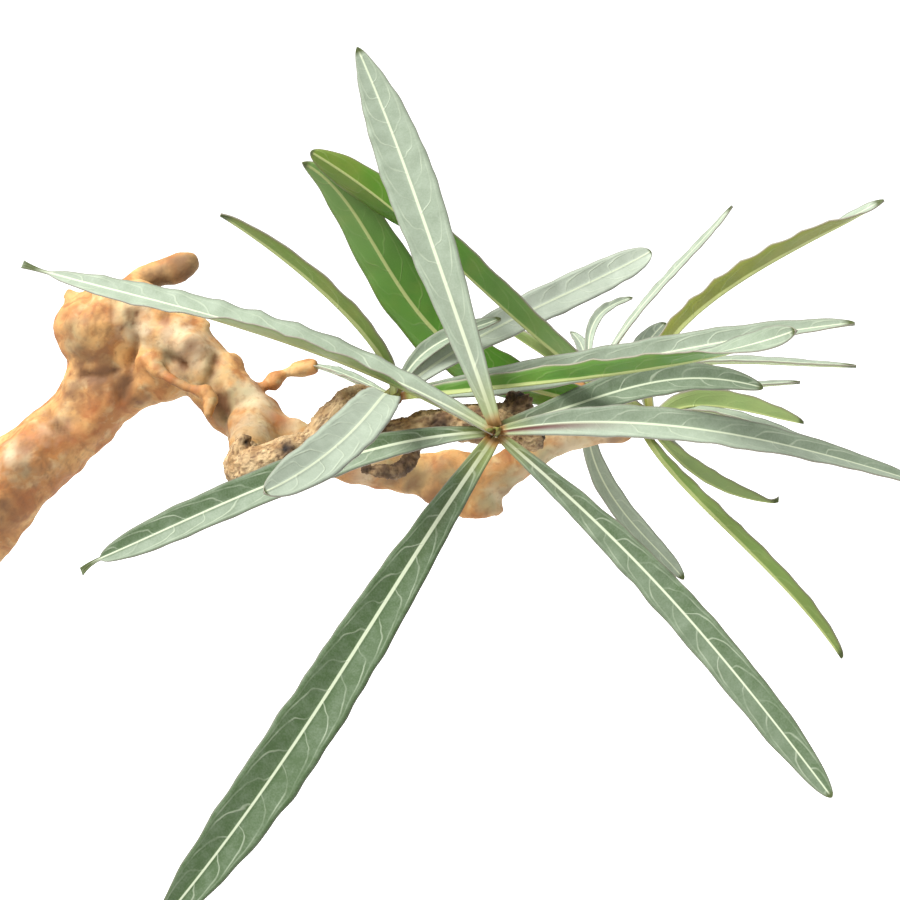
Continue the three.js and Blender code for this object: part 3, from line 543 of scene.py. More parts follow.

# %% [markdown]
# ## The four rosettes
#
# Each rosette is a short green shoot with its leaves around it. A row gives the points that a leaf's midrib
# runs through, counted from the rosette's middle, its width, the way its upper side looks, the angle by
# which its halves fold up, where it is widest, and the margin's waves by height and number. Then come its
# colours: the wax on the left and the right half, and for the underside how olive it is, its dust and its
# blush. The wax and the dust are partly painted light and shade, and on one leaf the blush is painted
# shade. A list is spread along the leaf from foot to tip. What a row doesn't say is as on the usual leaf:
# "crease" folds it further, "hook" is how far a dried end is bent, and "keel" is how much wider the pale
# midrib is below than above.

# %% Rosette data
USUAL_LEAF = {
    "tip": ROUND_TIP, "crease": 0, "hook": None, "keel": 1.4, "olive": [0.3], "dust_and_light": [0.3], "blush_and_shade": (0, 0),
}
FRONT = (0, -0.94, 0.34)
ROSETTES = {
    "rosette_a": {
        "centre": (199.5, -34, 277.5), "radius": 1.5, "axis": (-0.2, -0.9, 0.3),
        "shared": {"blush_and_shade": (0.1, 0.1)}, "leaves": [
            {"route": [(-0.4, -1.6, -0.8), (-21.8, -29.5, -24.7), (-41.4, -53, -48.3), (-65, -73.5, -74)],
             "width": 12, "face": [FRONT], "fold": [8], "crease": 6, "widest": 0.62, "wave": (0.4, 3),
             "bloom_and_light": (0.06, 0.06)},
            {"route": [(0.6, -1.4, -0.5), (23.7, -12.3, -18.9), (43.7, -27.2, -36.8), (66, -47.5, -60)],
             "width": 8, "face": [FRONT], "fold": [10], "crease": 4, "widest": 0.6, "wave": (0.7, 5),
             "tip": BLUNT_TIP, "bloom_and_light": (0.15, 0.27), "blush_and_shade": (0.15, 0.15)},
            {"route": [(-0.9, -1.2, 0.2), (-30, -5.5, -3.5), (-57.5, -10, -13), (-85.5, -13.5, -25)],
             "width": 7.8, "face": [(0, -0.8, 0.6)], "fold": [12], "widest": 0.58, "wave": (0.5, 4),
             "tip": BLUNT_TIP, "hook": (0.5, 0, -0.9), "bloom_and_light": (0.38, 0.1)},
            # Its dust is partly painted light, which lightens the underside that faces away from the lamp.
            {"route": [(-0.4, -2, 0.4), (-34.5, 8, 14), (-67, 17.5, 21.5), (-100, 27, 27.5)], "width": 10,
             "face": [(0, -0.3, 0.9), (0, -0.03, 1), (0, -0.03, 1), (0, -0.5, 0.9), (0, -0.8, 0.6)],
             "fold": [15, 33, 31, 14, 10], "widest": 0.45, "wave": (0.6, 6), "tip": POINTED_TIP,
             "hook": (0, 0, 0.3), "keel": 2.4, "bloom_and_light": (0.8, 0.72), "olive": [0.1, 0.3],
             "dust_and_light": [0.25, 0.6, 0.6]},
            {"route": [(-0.1, -1, 1.2), (-12.4, 17, 32.5), (-20.6, 29, 53), (-29, 38, 72)], "width": 11,
             "face": [FRONT], "fold": [10], "widest": 0.55, "wave": (0.2, 3), "tip": POINTED_TIP,
             "bloom_and_light": (0.72, 0.68)},
            {"route": [(0.6, -1.2, 0.3), (29.5, -4, 3), (59, -7.5, -0.5), (89, -7.5, -9.5)], "width": 7.4,
             "face": [(0, -0.9, 0.5), (0, -0.2, 1)], "fold": [14], "widest": 0.35, "wave": (0.4, 3),
             "bloom_and_light": (0.5, 0.8), "blush_and_shade": (0, 0.95)},
            {"route": [(0.5, 0.2, 0.8), (19.5, 10.5, 3), (37, 16.5, 5.5), (57, 20, 2.5)], "width": 7.6,
             "face": [(0, -0.7, 0.7)], "fold": [14, 20], "widest": 0.5, "wave": (0.3, 3),
             "bloom_and_light": (0.3, 0.35), "olive": [0.4], "blush_and_shade": (0.2, 0.2)},
    ]},
    "rosette_b": {
        "centre": (178, -19.5, 280), "radius": 2, "axis": (0.8, 0.1, 0.6),
        "shared": {}, "leaves": [
            {"route": [(-1, -2, -0.5), (-2, -28, 9), (-8, -56.5, 11), (-22, -79, 8.5)], "width": 9.4,
             "face": [(0.2, -0.5, 0.8), (0.1, -0.8, 0.6)], "fold": [10], "widest": 0.6, "wave": (0.3, 3),
             "tip": BLUNT_TIP, "bloom_and_light": (0.95, 0.95)},
            {"route": [(0, -1, 0.5), (-4.8, -3.5, 14.2), (-19.2, -4.5, 29.4), (-34.5, -8, 42)],
             "width": 4.8, "face": [(0.6, 0.7, 0.3)], "fold": [42, 40], "widest": 0.55, "wave": (0.2, 3),
             "tip": POINTED_TIP, "keel": 2.6, "bloom_and_light": (0.5, 0.5), "olive": [0.55], "dust_and_light": [0.06]},
            {"route": [(-1, 1.8, 0), (-8, 13, -0.6), (-13, 23, -2), (-18.3, 33.5, -4)], "width": 4,
             "face": [(0, 0.1, 1)], "fold": [15], "widest": 0.55, "wave": (0.2, 2), "bloom_and_light": (0.6, 0.6)},
            {"route": [(1.5, -1, 0.5), (28.5, -3.5, 4.4), (56.5, -19, 13.8), (79, -40, 27.2)], "width": 7.4,
             "face": [(0, 0.9, 0.4), (0, 0.85, 0.4), (0, 0.5, 0.8), (0, -0.9, 0.5)],
             "fold": [40, 38, 30, 8], "widest": 0.6, "wave": (0.6, 4), "tip": BLUNT_TIP, "keel": 2.2,
             "bloom_and_light": (0.62, 0.62), "olive": [0.05], "dust_and_light": [0.05]},
            {"route": [(0.5, 1.8, 0.3), (6.5, 12.5, 5.5), (14, 18.5, 8), (23, 23, 10)], "width": 4.6,
             "face": [(0.2, -0.3, 0.9)], "fold": [25], "widest": 0.5, "wave": (0.2, 2), "bloom_and_light": (0.6, 0.6)},
            {"route": [(1, 1.8, 0), (18.5, 24, 5.5), (39.5, 47, 9), (58, 60, 14.5)], "width": 8,
             "face": [(0, -0.8, 0.6)], "fold": [10], "widest": 0.6, "wave": (0.4, 3), "tip": BLUNT_TIP,
             "bloom_and_light": (1.2, 1.2)},
            {"route": [(1.5, 1.5, 0), (34.5, 8, 2.5), (67, 12, 7.5), (98.5, 13.5, 12)], "width": 7.6,
             "face": [(0, -0.8, 0.6), (0, -0.6, 0.8), (0, -0.3, 1)], "fold": [15, 18, 25], "widest": 0.35,
             "wave": (0.5, 4), "bloom_and_light": (0.7, 0.8)},
    ]},
    "rosette_c": {
        "centre": (234, 5, 265.5), "radius": 3, "axis": (0.8, 0.5, 0.2),
        "shared": {}, "leaves": [
            {"route": [(-0.5, 2, 1.5), (-26.5, -2, 22.5), (-49.5, 2, 42.5), (-74, 5, 60)], "width": 9,
             "face": [(0.7, 0.5, 0.4), (0.7, 0.6, 0.4), (0, 1, -0.2)], "fold": [45, 42, 10], "widest": 0.7,
             "wave": (0.3, 3), "bloom_and_light": (0.5, 0.5), "olive": [0.15, 0.05, 0, 0.05, 0.6],
             "dust_and_light": [0.45, 0.2, 0, 0], "blush_and_shade": (0.1, 0.1)},
            {"route": [(-0.5, 2, 1.5), (-25, 5.5, 6), (-46, 6, 18), (-60.5, 7.5, 38.5), (-76, 7.5, 57)],
             "width": 11.8, "face": [(0, 0.8, 0.5), (0.1, 1, -0.2), (0.1, 1, -0.2)], "fold": [10],
             "widest": 0.6, "wave": (0.3, 2), "tip": POINTED_TIP, "bloom_and_light": (0.5, 0.5), "olive": [0],
             "dust_and_light": [0, 0, 0.06, 0.3]},
            # Its blush is painted shade, which darkens the lower third of the leaf.
            {"route": [(0.5, 1.5, 1.5), (6, 1.5, 21.5), (26.5, -1.5, 38.5), (48.5, -3, 51.5)], "width": 7,
             "face": [(-0.5, 0.8, 0.3), (-0.5, 0.8, 0.4), (-0.5, 0.8, 0.4),
                      (-0.5, 0.8, 0.4), (-0.4, 0.6, 0.6), (0, -0.5, 0.8)],
             "fold": [42, 40, 40, 36, 28, 10], "widest": 0.6, "wave": (0.6, 6), "tip": POINTED_TIP,
             "keel": 2.8, "bloom_and_light": (0.8, 0.8), "olive": [0.95], "dust_and_light": [0], "blush_and_shade": (0.35, 0.35)},
            {"route": [(0.5, 2, 1), (-1, 15, 7), (0.5, 26.5, 9), (6, 40, 10.5)], "width": 6,
             "face": [(0, -0.5, 0.8)], "fold": [15], "widest": 0.55, "wave": (0.2, 2), "bloom_and_light": (0.6, 0.6),
             "olive": [0.4]},
            {"route": [(-1.2, 0, -1.8), (10, -9, -14), (25.8, -21, -27), (40.5, -31.5, -42.5)],
             "width": 5.4, "face": [(0.5, 0.8, 0.2)], "fold": [40], "widest": 0.6, "wave": (0.4, 5),
             "keel": 2.6, "bloom_and_light": (0.9, 0.9), "olive": [0.42], "dust_and_light": [0.16]},
            {"route": [(1, -0.5, -1.5), (9, -1.5, -10), (18, -1.5, -15.5), (29, -0.5, -18.5)], "width": 5.6,
             "face": [(0.3, 0.9, 0.3)], "fold": [38], "widest": 0.5, "wave": (0.3, 3), "tip": DRAWN_TIP,
             "hook": (0, 0, 0.4), "bloom_and_light": (1.2, 1.2), "olive": [0.4], "dust_and_light": [0.42]},
            {"route": [(1, -1.5, 1.5), (11, 1.5, 4), (23, 1, 2.5), (34, 0.5, 0)], "width": 7,
             "face": [(0, 0.9, 0.4)], "fold": [42, 40], "widest": 0.4, "wave": (0.3, 3), "tip": POINTED_TIP,
             "bloom_and_light": (0.6, 0.6), "olive": [0.4], "dust_and_light": [0.4]},
            {"route": [(1.5, 0.5, 1), (14.5, -3, 3.5), (29, -10.5, 1), (45, -17.5, -2)], "width": 5.5,
             "face": [(0, 0.2, 1)], "fold": [15], "widest": 0.5, "wave": (0.2, 3), "bloom_and_light": (0.8, 0.8),
             "olive": [0.7]},
            {"route": [(-0.5, 2, 0), (-12.5, 8.5, 6.5), (-22, 14.5, 11), (-31.5, 20.5, 15.5)], "width": 5.5,
             "face": [(0.3, 0.8, 0.6)], "fold": [30], "widest": 0.5, "wave": (0.2, 2), "bloom_and_light": (0.6, 0.6),
             "olive": [0.4]},
    ]},
    "rosette_d": {
        "centre": (223.5, 52, 259.5), "radius": 2.4, "axis": (0.2, 1, 0.1),
        "shared": {"bloom_and_light": (0.85, 0.85), "olive": [0.4], "dust_and_light": [0.9]}, "leaves": [
            {"route": [(1, 1.5, 0.5), (12.5, 19, 12), (25.5, 35.5, 21), (36.5, 47, 30)], "width": 2.6,
             "face": [(-0.6, -0.55, 0.7)], "fold": [8], "widest": 0.5, "wave": (0.2, 3)},
            {"route": [(0, 1.6, 0.5), (0.5, 15.5, 7.5), (5, 27, 9.5), (11.5, 34.5, 10)], "width": 3,
             "face": [(0, -0.4, 0.9)], "fold": [25], "widest": 0.5, "wave": (0.2, 2)},
            {"route": [(-0.3, 1.8, 0.3), (-1, 17.5, 1), (-1.5, 31.5, -0.5), (-3, 46, -2.5)], "width": 3.6,
             "face": [(0, 0.1, 1)], "fold": [20], "widest": 0.5, "wave": (0.2, 2), "bloom_and_light": (0.8, 0.8)},
            {"route": [(1, 0.5, -1), (8.5, 5, -10), (16.5, 11, -17), (24.5, 16.5, -24.5)], "width": 4.5,
             "face": [(0, -0.2, 1)], "fold": [20], "widest": 0.5, "wave": (0.2, 2)},
            {"route": [(-0.5, 0.5, -1.5), (1, -16.5, -16.5), (10.5, -25, -28.5), (20.5, -31, -38)],
             "width": 5.2, "face": [(0.2, -0.8, 0.6)], "fold": [10], "widest": 0.5, "wave": (0.3, 2),
             "bloom_and_light": (0.8, 0.8)},
            {"route": [(1.5, 0, 0), (23.5, 3.5, 3.5), (42.5, 5.5, 3), (63.5, 7, 1.5)], "width": 3.4,
             "face": [(0, 0, 1)], "fold": [20], "widest": 0.5, "wave": (0.2, 3)},
            {"route": [(1.5, 1, -1), (19, 9, -5), (35.5, 16.5, -7), (52.5, 24.5, -8.5)], "width": 3,
             "face": [(0, -0.1, 1)], "fold": [20], "widest": 0.5, "wave": (0.2, 3)},
    ]},
}
print("leaves:", {title: len(place["leaves"]) for title, place in ROSETTES.items()})

# %% [markdown]
# Every finished piece is made the same way: the bmesh in millimetres is scaled to metres, gets its
# materials, is hung under the body's empty, and hides the CAD node that it stands for. The object itself
# stays at the origin, unturned and unscaled.

# %% Finish a piece
def finish_piece(name, bm, materials, node, smooth=True):
    """Turns a bmesh in millimetres into a piece of the object that stands for a CAD node."""
    bmesh.ops.scale(bm, vec=(MM, MM, MM), verts=bm.verts)
    for face in bm.faces:
        face.smooth = smooth
    mesh = bpy.data.meshes.new(name)
    bm.to_mesh(mesh)
    bm.free()
    for material in materials:
        mesh.materials.append(material)
    piece = bpy.data.objects.new(name, mesh)
    scene.collection.objects.link(piece)
    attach(piece, "root")
    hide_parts(node)
    triangles = sum(len(face.vertices) - 2 for face in mesh.polygons)
    print(name, triangles, "triangles")
    return piece

# %% [markdown]
# The shoot is a small sphere drawn out along the way it points, and roughened. A few leaves that have only
# just started stand on it. They are set 2.4 radians apart, the golden angle by which a plant turns from
# leaf to leaf.

# %% Make the rosettes
GOLDEN_ANGLE = 2.4
YOUNG_LEAVES = 3


def young_leaves(place, count):
    """Rows for the small leaves at the tip of a shoot."""
    axis = Vector(place["axis"]).normalized()
    across = axis.orthogonal().normalized()
    around = axis.cross(across)
    rows = []
    for i in range(count):
        angle = GOLDEN_ANGLE * i + 0.5
        out = across * math.cos(angle) + around * math.sin(angle)
        length = 1 + 0.7 * i
        route = [axis * 0.8, axis * (1.6 + 0.4 * length) + out * 0.5,
                 axis * (1.8 + 0.65 * length) + out * (0.4 + 0.15 * length),
                 axis * (1.8 + 0.85 * length) + out * (0.4 + 0.35 * length)]
        rows.append({"route": route, "width": 1 + 0.12 * i, "face": [axis - out * 1.2], "fold": [30],
                     "widest": 0.5, "wave": (0, 1), "bloom_and_light": (0, 0), "olive": [0.2], "blush_and_shade": (0.3, 0.3)})
    return rows


for title, place in ROSETTES.items():
    bm = bmesh.new()
    layers = [bm.verts.layers.float_vector.new(name) for name in ("blade", "tone", "place")]
    centre = Vector(place["centre"])
    turn = Vector(place["axis"]).normalized().to_track_quat("Z", "Y").to_matrix().to_4x4()
    seat = Matrix.Translation(centre) @ turn @ Matrix.Diagonal((1, 1, 1.2, 1))
    knob = bmesh.ops.create_uvsphere(bm, u_segments=24, v_segments=16, radius=place["radius"], matrix=seat)
    for vert in knob["verts"]:
        vert.co += (vert.co - centre) * 0.12 * noise.noise(vert.co / 1.3)
    for face in {face for vert in knob["verts"] for face in vert.link_faces}:
        face.material_index = SHOOT
    for number, row in enumerate(place["leaves"]):
        add_leaf(bm, layers, {**USUAL_LEAF, **place["shared"], **row}, centre, number)
    for number, row in enumerate(young_leaves(place, YOUNG_LEAVES)):
        add_leaf(bm, layers, {**USUAL_LEAF, **row}, centre, 20 + number, sides=(SHOOT, SHOOT, SHOOT))
    finish_piece(title + "_foliage", bm, LEAF_MATERIALS, title + "_leaves")

# %% [markdown]
# ## Smooth bark
#
# Old wood of this plant has a thin, smooth, tan skin with cream and rust-coloured patches, faintly
# wrinkled. The mesh gives the lumps, wrinkles and scars, and tells the material where they are through two
# attributes: "patch" holds the cream, rust and grey-green parts, the grey-green partly painted shade, and
# "hollow" the dark of the scars and the painted shade of the creases, of the wrinkles' grooves and of the
# parts that lie in shadow. Noise alone would put them anywhere.

# %% Smooth tan bark
smooth_bark, tree = start_material("smooth_tan_bark")
place = put(tree, "ShaderNodeTexCoord", output="Object")
patch = put(tree, "ShaderNodeAttribute", output="Vector", attribute_name="patch")
marks = put(tree, "ShaderNodeAttribute", output="Vector", attribute_name="hollow")
cream, rust, moss_and_shade = put(tree, "ShaderNodeSeparateXYZ", {0: patch}, output=None).outputs
hollow, painted_shade = put(tree, "ShaderNodeSeparateXYZ", {0: marks}, output=None).outputs[:2]
cloud = put(tree, "ShaderNodeTexNoise", {"Vector": place, "Scale": per_metre(11), "Detail": 4}, output="Fac")
cloud = put(tree, "ShaderNodeMapRange", {"Value": cloud, "From Min": 0.36, "From Max": 0.64})
blotch = put(tree, "ShaderNodeTexNoise", {"Vector": place, "Scale": per_metre(4.5), "Detail": 5,
                                          "Distortion": 0.6}, output="Fac")
stain = put(tree, "ShaderNodeMapRange", {"Value": blotch, "From Min": 0.51, "From Max": 0.64})
chalk = put(tree, "ShaderNodeMapRange", {"Value": blotch, "From Min": 0.45, "From Max": 0.33})
speck = put(tree, "ShaderNodeTexNoise", {"Vector": place, "Scale": per_metre(1.3), "Detail": 4}, output="Fac")
speck = put(tree, "ShaderNodeMapRange", {"Value": speck, "From Min": 0.54, "From Max": 0.7})
# Painted shade darkens the creases, the wrinkles' grooves and the shade patches, and the moss is partly
# painted shade.
colour = coated(tree, "#b47a42", [
    (cloud, 1, "#dcaa69"), (stain, 0.75, "#a2622f"), (chalk, 0.6, "#dcc28e"), (cream, 1, "#dccdaa"),
    (rust, 1, "#a85c2a"), (moss_and_shade, 1, "#9c9870"), (speck, 0.4, "#8d6744"), (painted_shade, 1, "#7a5330"),
    (hollow, 1, "#7c4322"),
])
grain = put(tree, "ShaderNodeTexNoise", {"Vector": place, "Scale": per_metre(0.7), "Detail": 5}, output="Fac")
bump = put(tree, "ShaderNodeBump", {"Height": grain, "Strength": 0.5, "Distance": 0.18 * MM})
skin = put(tree, "ShaderNodeBsdfPrincipled", {"Base Color": colour, "Roughness": 0.72, "Normal": bump})
put(tree, "ShaderNodeOutputMaterial", {"Surface": skin}, output=None)
print(smooth_bark.name, len(tree.nodes), "nodes")

# %% [markdown]
# ## Rough bark
#
# The younger twigs are rougher: beige cork that cracks into small plates, with dark dried ends. Here
# "patch" holds the cream, rust and dead parts and "hollow" the dark of the scars, and painted shade in the
# cracks, in the grooves between the fibres and in the crumbling hollows of the dead ends. A third
# attribute, "cork", gives each point its place across and along its own twig, so the flecks are drawn out
# along the twig.

# %% Rough corky bark
rough_bark, tree = start_material("rough_corky_bark")
place = put(tree, "ShaderNodeTexCoord", output="Object")
patch = put(tree, "ShaderNodeAttribute", output="Vector", attribute_name="patch")
marks = put(tree, "ShaderNodeAttribute", output="Vector", attribute_name="hollow")
cork = put(tree, "ShaderNodeAttribute", output="Vector", attribute_name="cork")
cream, rust, dead = put(tree, "ShaderNodeSeparateXYZ", {0: patch}, output=None).outputs
hollow, painted_shade = put(tree, "ShaderNodeSeparateXYZ", {0: marks}, output=None).outputs[:2]
cloud = put(tree, "ShaderNodeTexNoise", {"Vector": place, "Scale": per_metre(3.2), "Detail": 5}, output="Fac")
cloud = put(tree, "ShaderNodeMapRange", {"Value": cloud, "From Min": 0.36, "From Max": 0.64})
fleck = put(tree, "ShaderNodeTexNoise", {"Vector": cork, "Scale": 1.3, "Detail": 5}, output="Fac")
fleck = put(tree, "ShaderNodeMapRange", {"Value": fleck, "From Min": 0.5, "From Max": 0.63})
# Painted shade darkens the cracks, the fibres' grooves and the crumbling hollows; the scars keep their own
# dark.
colour = coated(tree, "#a98354", [
    (cloud, 1, "#d6b88a"), (cream, 1, "#d2b98e"), (rust, 1, "#8f5030"), (fleck, 0.7, "#745236"),
    (painted_shade, 1, "#5b412b"), (dead, 1, "#47311f"), (hollow, 1, "#140c08"),
])
grain = put(tree, "ShaderNodeTexNoise", {"Vector": place, "Scale": per_metre(0.4), "Detail": 5}, output="Fac")
bump = put(tree, "ShaderNodeBump", {"Height": grain, "Strength": 0.6, "Distance": 0.15 * MM})
skin = put(tree, "ShaderNodeBsdfPrincipled", {"Base Color": colour, "Roughness": 0.82, "Normal": bump})
put(tree, "ShaderNodeOutputMaterial", {"Surface": skin}, output=None)
print(rough_bark.name, len(tree.nodes), "nodes")

# %% [markdown]
# ## The woody body
#
# Caudex, trunk, arm and branches grew as one piece, so their joins flow into each other. Skinned tubes are
# first bridged ring by ring along smooth curves. A voxel remesh then melts the overlapping tubes into one
# skin of even quads, which is fine enough to be pushed in and out along its normals. The old smooth wood
# and the rough twigs are two skins, because the twigs need finer voxels for their cracks.

# %% Limb data
SOIL_TOP = 95
FOOT_DEPTH = 16
FOOT_RADIUS = 38

# Points along the middle of a limb, each with its radius
TRUNK = [
    (0, 0, SOIL_TOP - FOOT_DEPTH, FOOT_RADIUS), (0, 0, SOIL_TOP + 4, FOOT_RADIUS),
    (0, 0, 106, 44), (0, 0, 122, 43), (1, 0, 138, 36),
    (4, 0, 153, 27), (11, 1, 168, 21), (23, 2, 183, 17.5), (41, 4, 201, 14.8), (62, 6, 221, 12.5),
    (80, 8, 237, 10.8), (93, 11, 251, 9.3), (103, 14, 259, 8.4), (110.5, 16.5, 267, 8.4),
    (113.5, 19.5, 275, 9), (112.5, 22, 283, 11), (113, 23.5, 290.5, 8.5),
]
SMOOTH_LIMBS = [
    [(112, 22, 284, 9.5), (119.5, 20.5, 284.5, 8.4), (126.5, 17.5, 281.5, 7), (132.5, 14.5, 278.5, 6.3),
     (137.5, 11.5, 273, 6.5), (141.8, 9, 268.6, 6.5), (147, 5.5, 265.2, 5.8), (153, 2.5, 262.8, 5),
     (161.5, 2, 259.6, 4.8), (172.5, 1, 257, 4.7), (183.5, 0.5, 254.6, 4.4), (191, 0, 256, 4.8),
     (197, -1.5, 253.8, 4.8), (204.5, -1.5, 258.4, 3.6), (214, -1, 263, 3), (222.5, 0, 265.2, 2.8),
     (226, 1, 265.4, 3.2), (230.3, 2.9, 265.5, 3.6)],
    [(113, 25, 285, 6), (117.5, 28.5, 288.6, 3.1), (121.5, 31, 291, 3), (127, 32.2, 292.8, 3.1),
     (133.2, 32.8, 294.6, 3)],
    [(124, 17, 280, 4), (123.5, 11, 278, 2), (128, 5.6, 275.9, 1.2), (134, 2.6, 274, 1.1),
     (138.2, 1.2, 273.3, 1.8)],
    [(137.8, 1.5, 273, 1.6), (137.4, -1.8, 270.8, 1.3), (137.4, -3.2, 268.9, 1)],
    [(131.4, 16.7, 285.1, 3), (134.6, 15.6, 284.9, 1.6), (136.9, 14.4, 284.6, 1.3)],
    [(138.5, 11.9, 274.5, 4), (142, 11.7, 277, 3), (143.2, 11.3, 278.3, 2.2)],
    [(144, 9, 269, 2), (148.4, 11, 271.8, 0.9), (151.3, 11.6, 273.3, 2), (153.8, 12.6, 274.6, 1.1),
     (156.8, 13, 275.2, 2), (161, 13.3, 276.1, 2.3)],
    [(186, -1.5, 253.5, 4.2), (191, -2.4, 250.3, 3.6), (196, -3.3, 248, 3.1)],
    [(147, 4, 265, 6), (147, -4, 264.8, 5), (146, -12.5, 264, 3.8)],
    [(107.5, 23.5, 286, 3), (105, 24.3, 288.5, 1.8), (104, 24.8, 290.2, 1.1)],
    [(112, 16.3, 265.5, 6), (123.2, 14.2, 272.5, 5.4), (132.5, 11.5, 272.5, 4)],
    [(208, -1, 260.2, 2.8), (211, 13, 258.8, 2.9), (215, 32, 260, 2.7), (220.5, 45, 259.8, 2.5),
     (222.9, 49.2, 259.4, 2.2)],
]
BROKEN_STUB = [
    (197, -1.5, 254, 4.6), (197.2, -2.2, 250.6, 4), (197.4, -3, 248, 4.5), (197.5, -3.3, 246.6, 4.8),
]
ROUGH_LIMBS = [
    [(146.2, -9.5, 263.9, 3.6), (146, -16, 263.8, 3.9), (146.5, -23, 264.7, 3.9),
     (150.5, -26, 267, 4), (155.5, -25.5, 268.5, 4.3), (161.5, -24.5, 271, 4.1), (165.5, -22.5, 275.5, 3.8),
     (169, -21, 278.5, 3.9), (172, -20.4, 279.2, 3.6), (174.9, -19.9, 279.6, 3)],
    [(146, -23, 264.5, 3.2), (145.6, -23, 267.4, 2.5), (146.2, -22.8, 270, 1.8), (147, -22.6, 272.4, 1.3)],
    [(156.5, -26.5, 268.5, 4), (155.8, -28, 270.5, 3), (155.5, -28.8, 272, 2.2)],
    [(157, -25, 269.5, 3.8), (167, -22, 270, 3.5), (179.5, -20, 272, 3.4), (188, -19, 273.5, 3.5),
     (196, -19, 274, 4.2), (203.5, -19.5, 273.5, 4.4), (210.5, -20.5, 271, 4.4)],
    [(204.5, -19, 274, 3.6), (204.5, -18.5, 277.5, 3.2), (204.9, -18.5, 280.4, 3.2)],
    [(181.5, -20.5, 270.5, 2.3), (182, -22.5, 267.8, 1.6), (179.5, -25.5, 266, 1.4),
     (175, -26.5, 265.8, 1.3), (171, -25.5, 266.5, 1)],
    [(201.5, -20, 274.5, 3.6), (200.8, -25.5, 275.5, 3), (200.2, -30.4, 276.5, 2.4)],
]
print("limbs:", 2 + len(SMOOTH_LIMBS), "smooth,", len(ROUGH_LIMBS), "rough")

# %% [markdown]
# The path of a limb is a centripetal Catmull-Rom curve, the one that the CAD limbs follow, so the finer
# skin lies on the same line. Its rings don't twist: each one takes over the last one's direction.

# %% Paths and rings
def smooth_path(points, per_span):
    """Middle, radius and direction of rings along a centripetal Catmull-Rom curve."""
    places = [Vector(point[:3]) for point in points]
    padded = [2 * places[0] - places[1]] + places + [2 * places[-1] - places[-2]]
    rings = []
    for span in range(len(points) - 1):
        p0, p1, p2, p3 = padded[span:span + 4]
        d0, d1, d2 = [max(1e-4, (b - a).length ** 0.5) for a, b in ((p0, p1), (p1, p2), (p2, p3))]
        start = ((p1 - p0) / d0 - (p2 - p0) / (d0 + d1) + (p2 - p1) / d1) * d1
        end = ((p2 - p1) / d1 - (p3 - p1) / (d1 + d2) + (p3 - p2) / d2) * d1
        last = span == len(points) - 2
        for step in range(per_span + (1 if last else 0)):
            w = step / per_span
            c2 = -3 * p1 + 3 * p2 - 2 * start - end
            c3 = 2 * p1 - 2 * p2 + start + end
            middle = p1 + start * w + c2 * w * w + c3 * w ** 3
            direction = (start + 2 * c2 * w + 3 * c3 * w * w).normalized()
            radius = points[span][3] + (points[span + 1][3] - points[span][3]) * w
            rings.append((middle, radius, direction, span + w))
    return rings


def add_limb(bm, rings, sides, across, lump=None, rounding=0.9):
    """Bridges circles along a path into a closed tube with a rounded end, and gives back its frames."""
    loops = []
    frames = []
    for index, (middle, radius, direction, place) in enumerate(rings):
        across = (across - direction * across.dot(direction)).normalized()
        away = direction.cross(across).normalized()
        turn = Matrix((across, away, direction)).transposed().to_4x4()
        ends = index in (0, len(rings) - 1)
        left = (rings[-1][0] - middle).length
        soft = rounding * rings[-1][1]
        if left < soft and index > 0:
            radius *= max(0.45, math.sqrt(1 - (1 - left / soft) ** 2))
        circle = bmesh.ops.create_circle(bm, cap_ends=ends, segments=sides, radius=1,
                                         matrix=Matrix.Translation(middle) @ turn)["verts"]
        for vert in circle:
            spoke = vert.co - middle
            angle = math.atan2(spoke.dot(away), spoke.dot(across))
            swell = lump(angle, place) if lump else 0
            vert.co = middle + spoke * radius * (1 + swell)
        loops.append({edge for vert in circle for edge in vert.link_edges if len(edge.link_faces) < 2})
        frames.append((middle, radius, direction, across, away))
    for first, second in zip(loops, loops[1:]):
        bmesh.ops.bridge_loops(bm, edges=list(first | second))
    return frames


def trunk_lump(angle, place):
    """The trunk's slow swellings, none in the soil."""
    if place <= 1:
        return 0
    return 0.035 * math.sin(5 * angle + 1.6 * place) + 0.03 * math.sin(2 * angle - 1.2 * place)


def melt(bm, voxel, rounds):
    """Melts overlapping closed tubes into one skin of even quads, smoothed so many times."""
    bmesh.ops.recalc_face_normals(bm, faces=bm.faces)
    mesh = bpy.data.meshes.new("tubes")
    bm.to_mesh(mesh)
    bm.free()
    carrier = bpy.data.objects.new("tubes", mesh)
    scene.collection.objects.link(carrier)
    remesh = carrier.modifiers.new("skin", "REMESH")
    remesh.mode = "VOXEL"
    remesh.voxel_size = voxel
    shown = carrier.evaluated_get(bpy.context.evaluated_depsgraph_get())
    skin = bmesh.new()
    skin.from_mesh(shown.to_mesh())
    shown.to_mesh_clear()
    bpy.data.objects.remove(carrier)
    bpy.data.meshes.remove(mesh)
    for step in range(rounds):
        bmesh.ops.smooth_vert(skin, verts=skin.verts, factor=0.5,
                              use_axis_x=True, use_axis_y=True, use_axis_z=True)
    skin.normal_update()
    print("skin of", len(skin.verts), "vertices")
    return skin
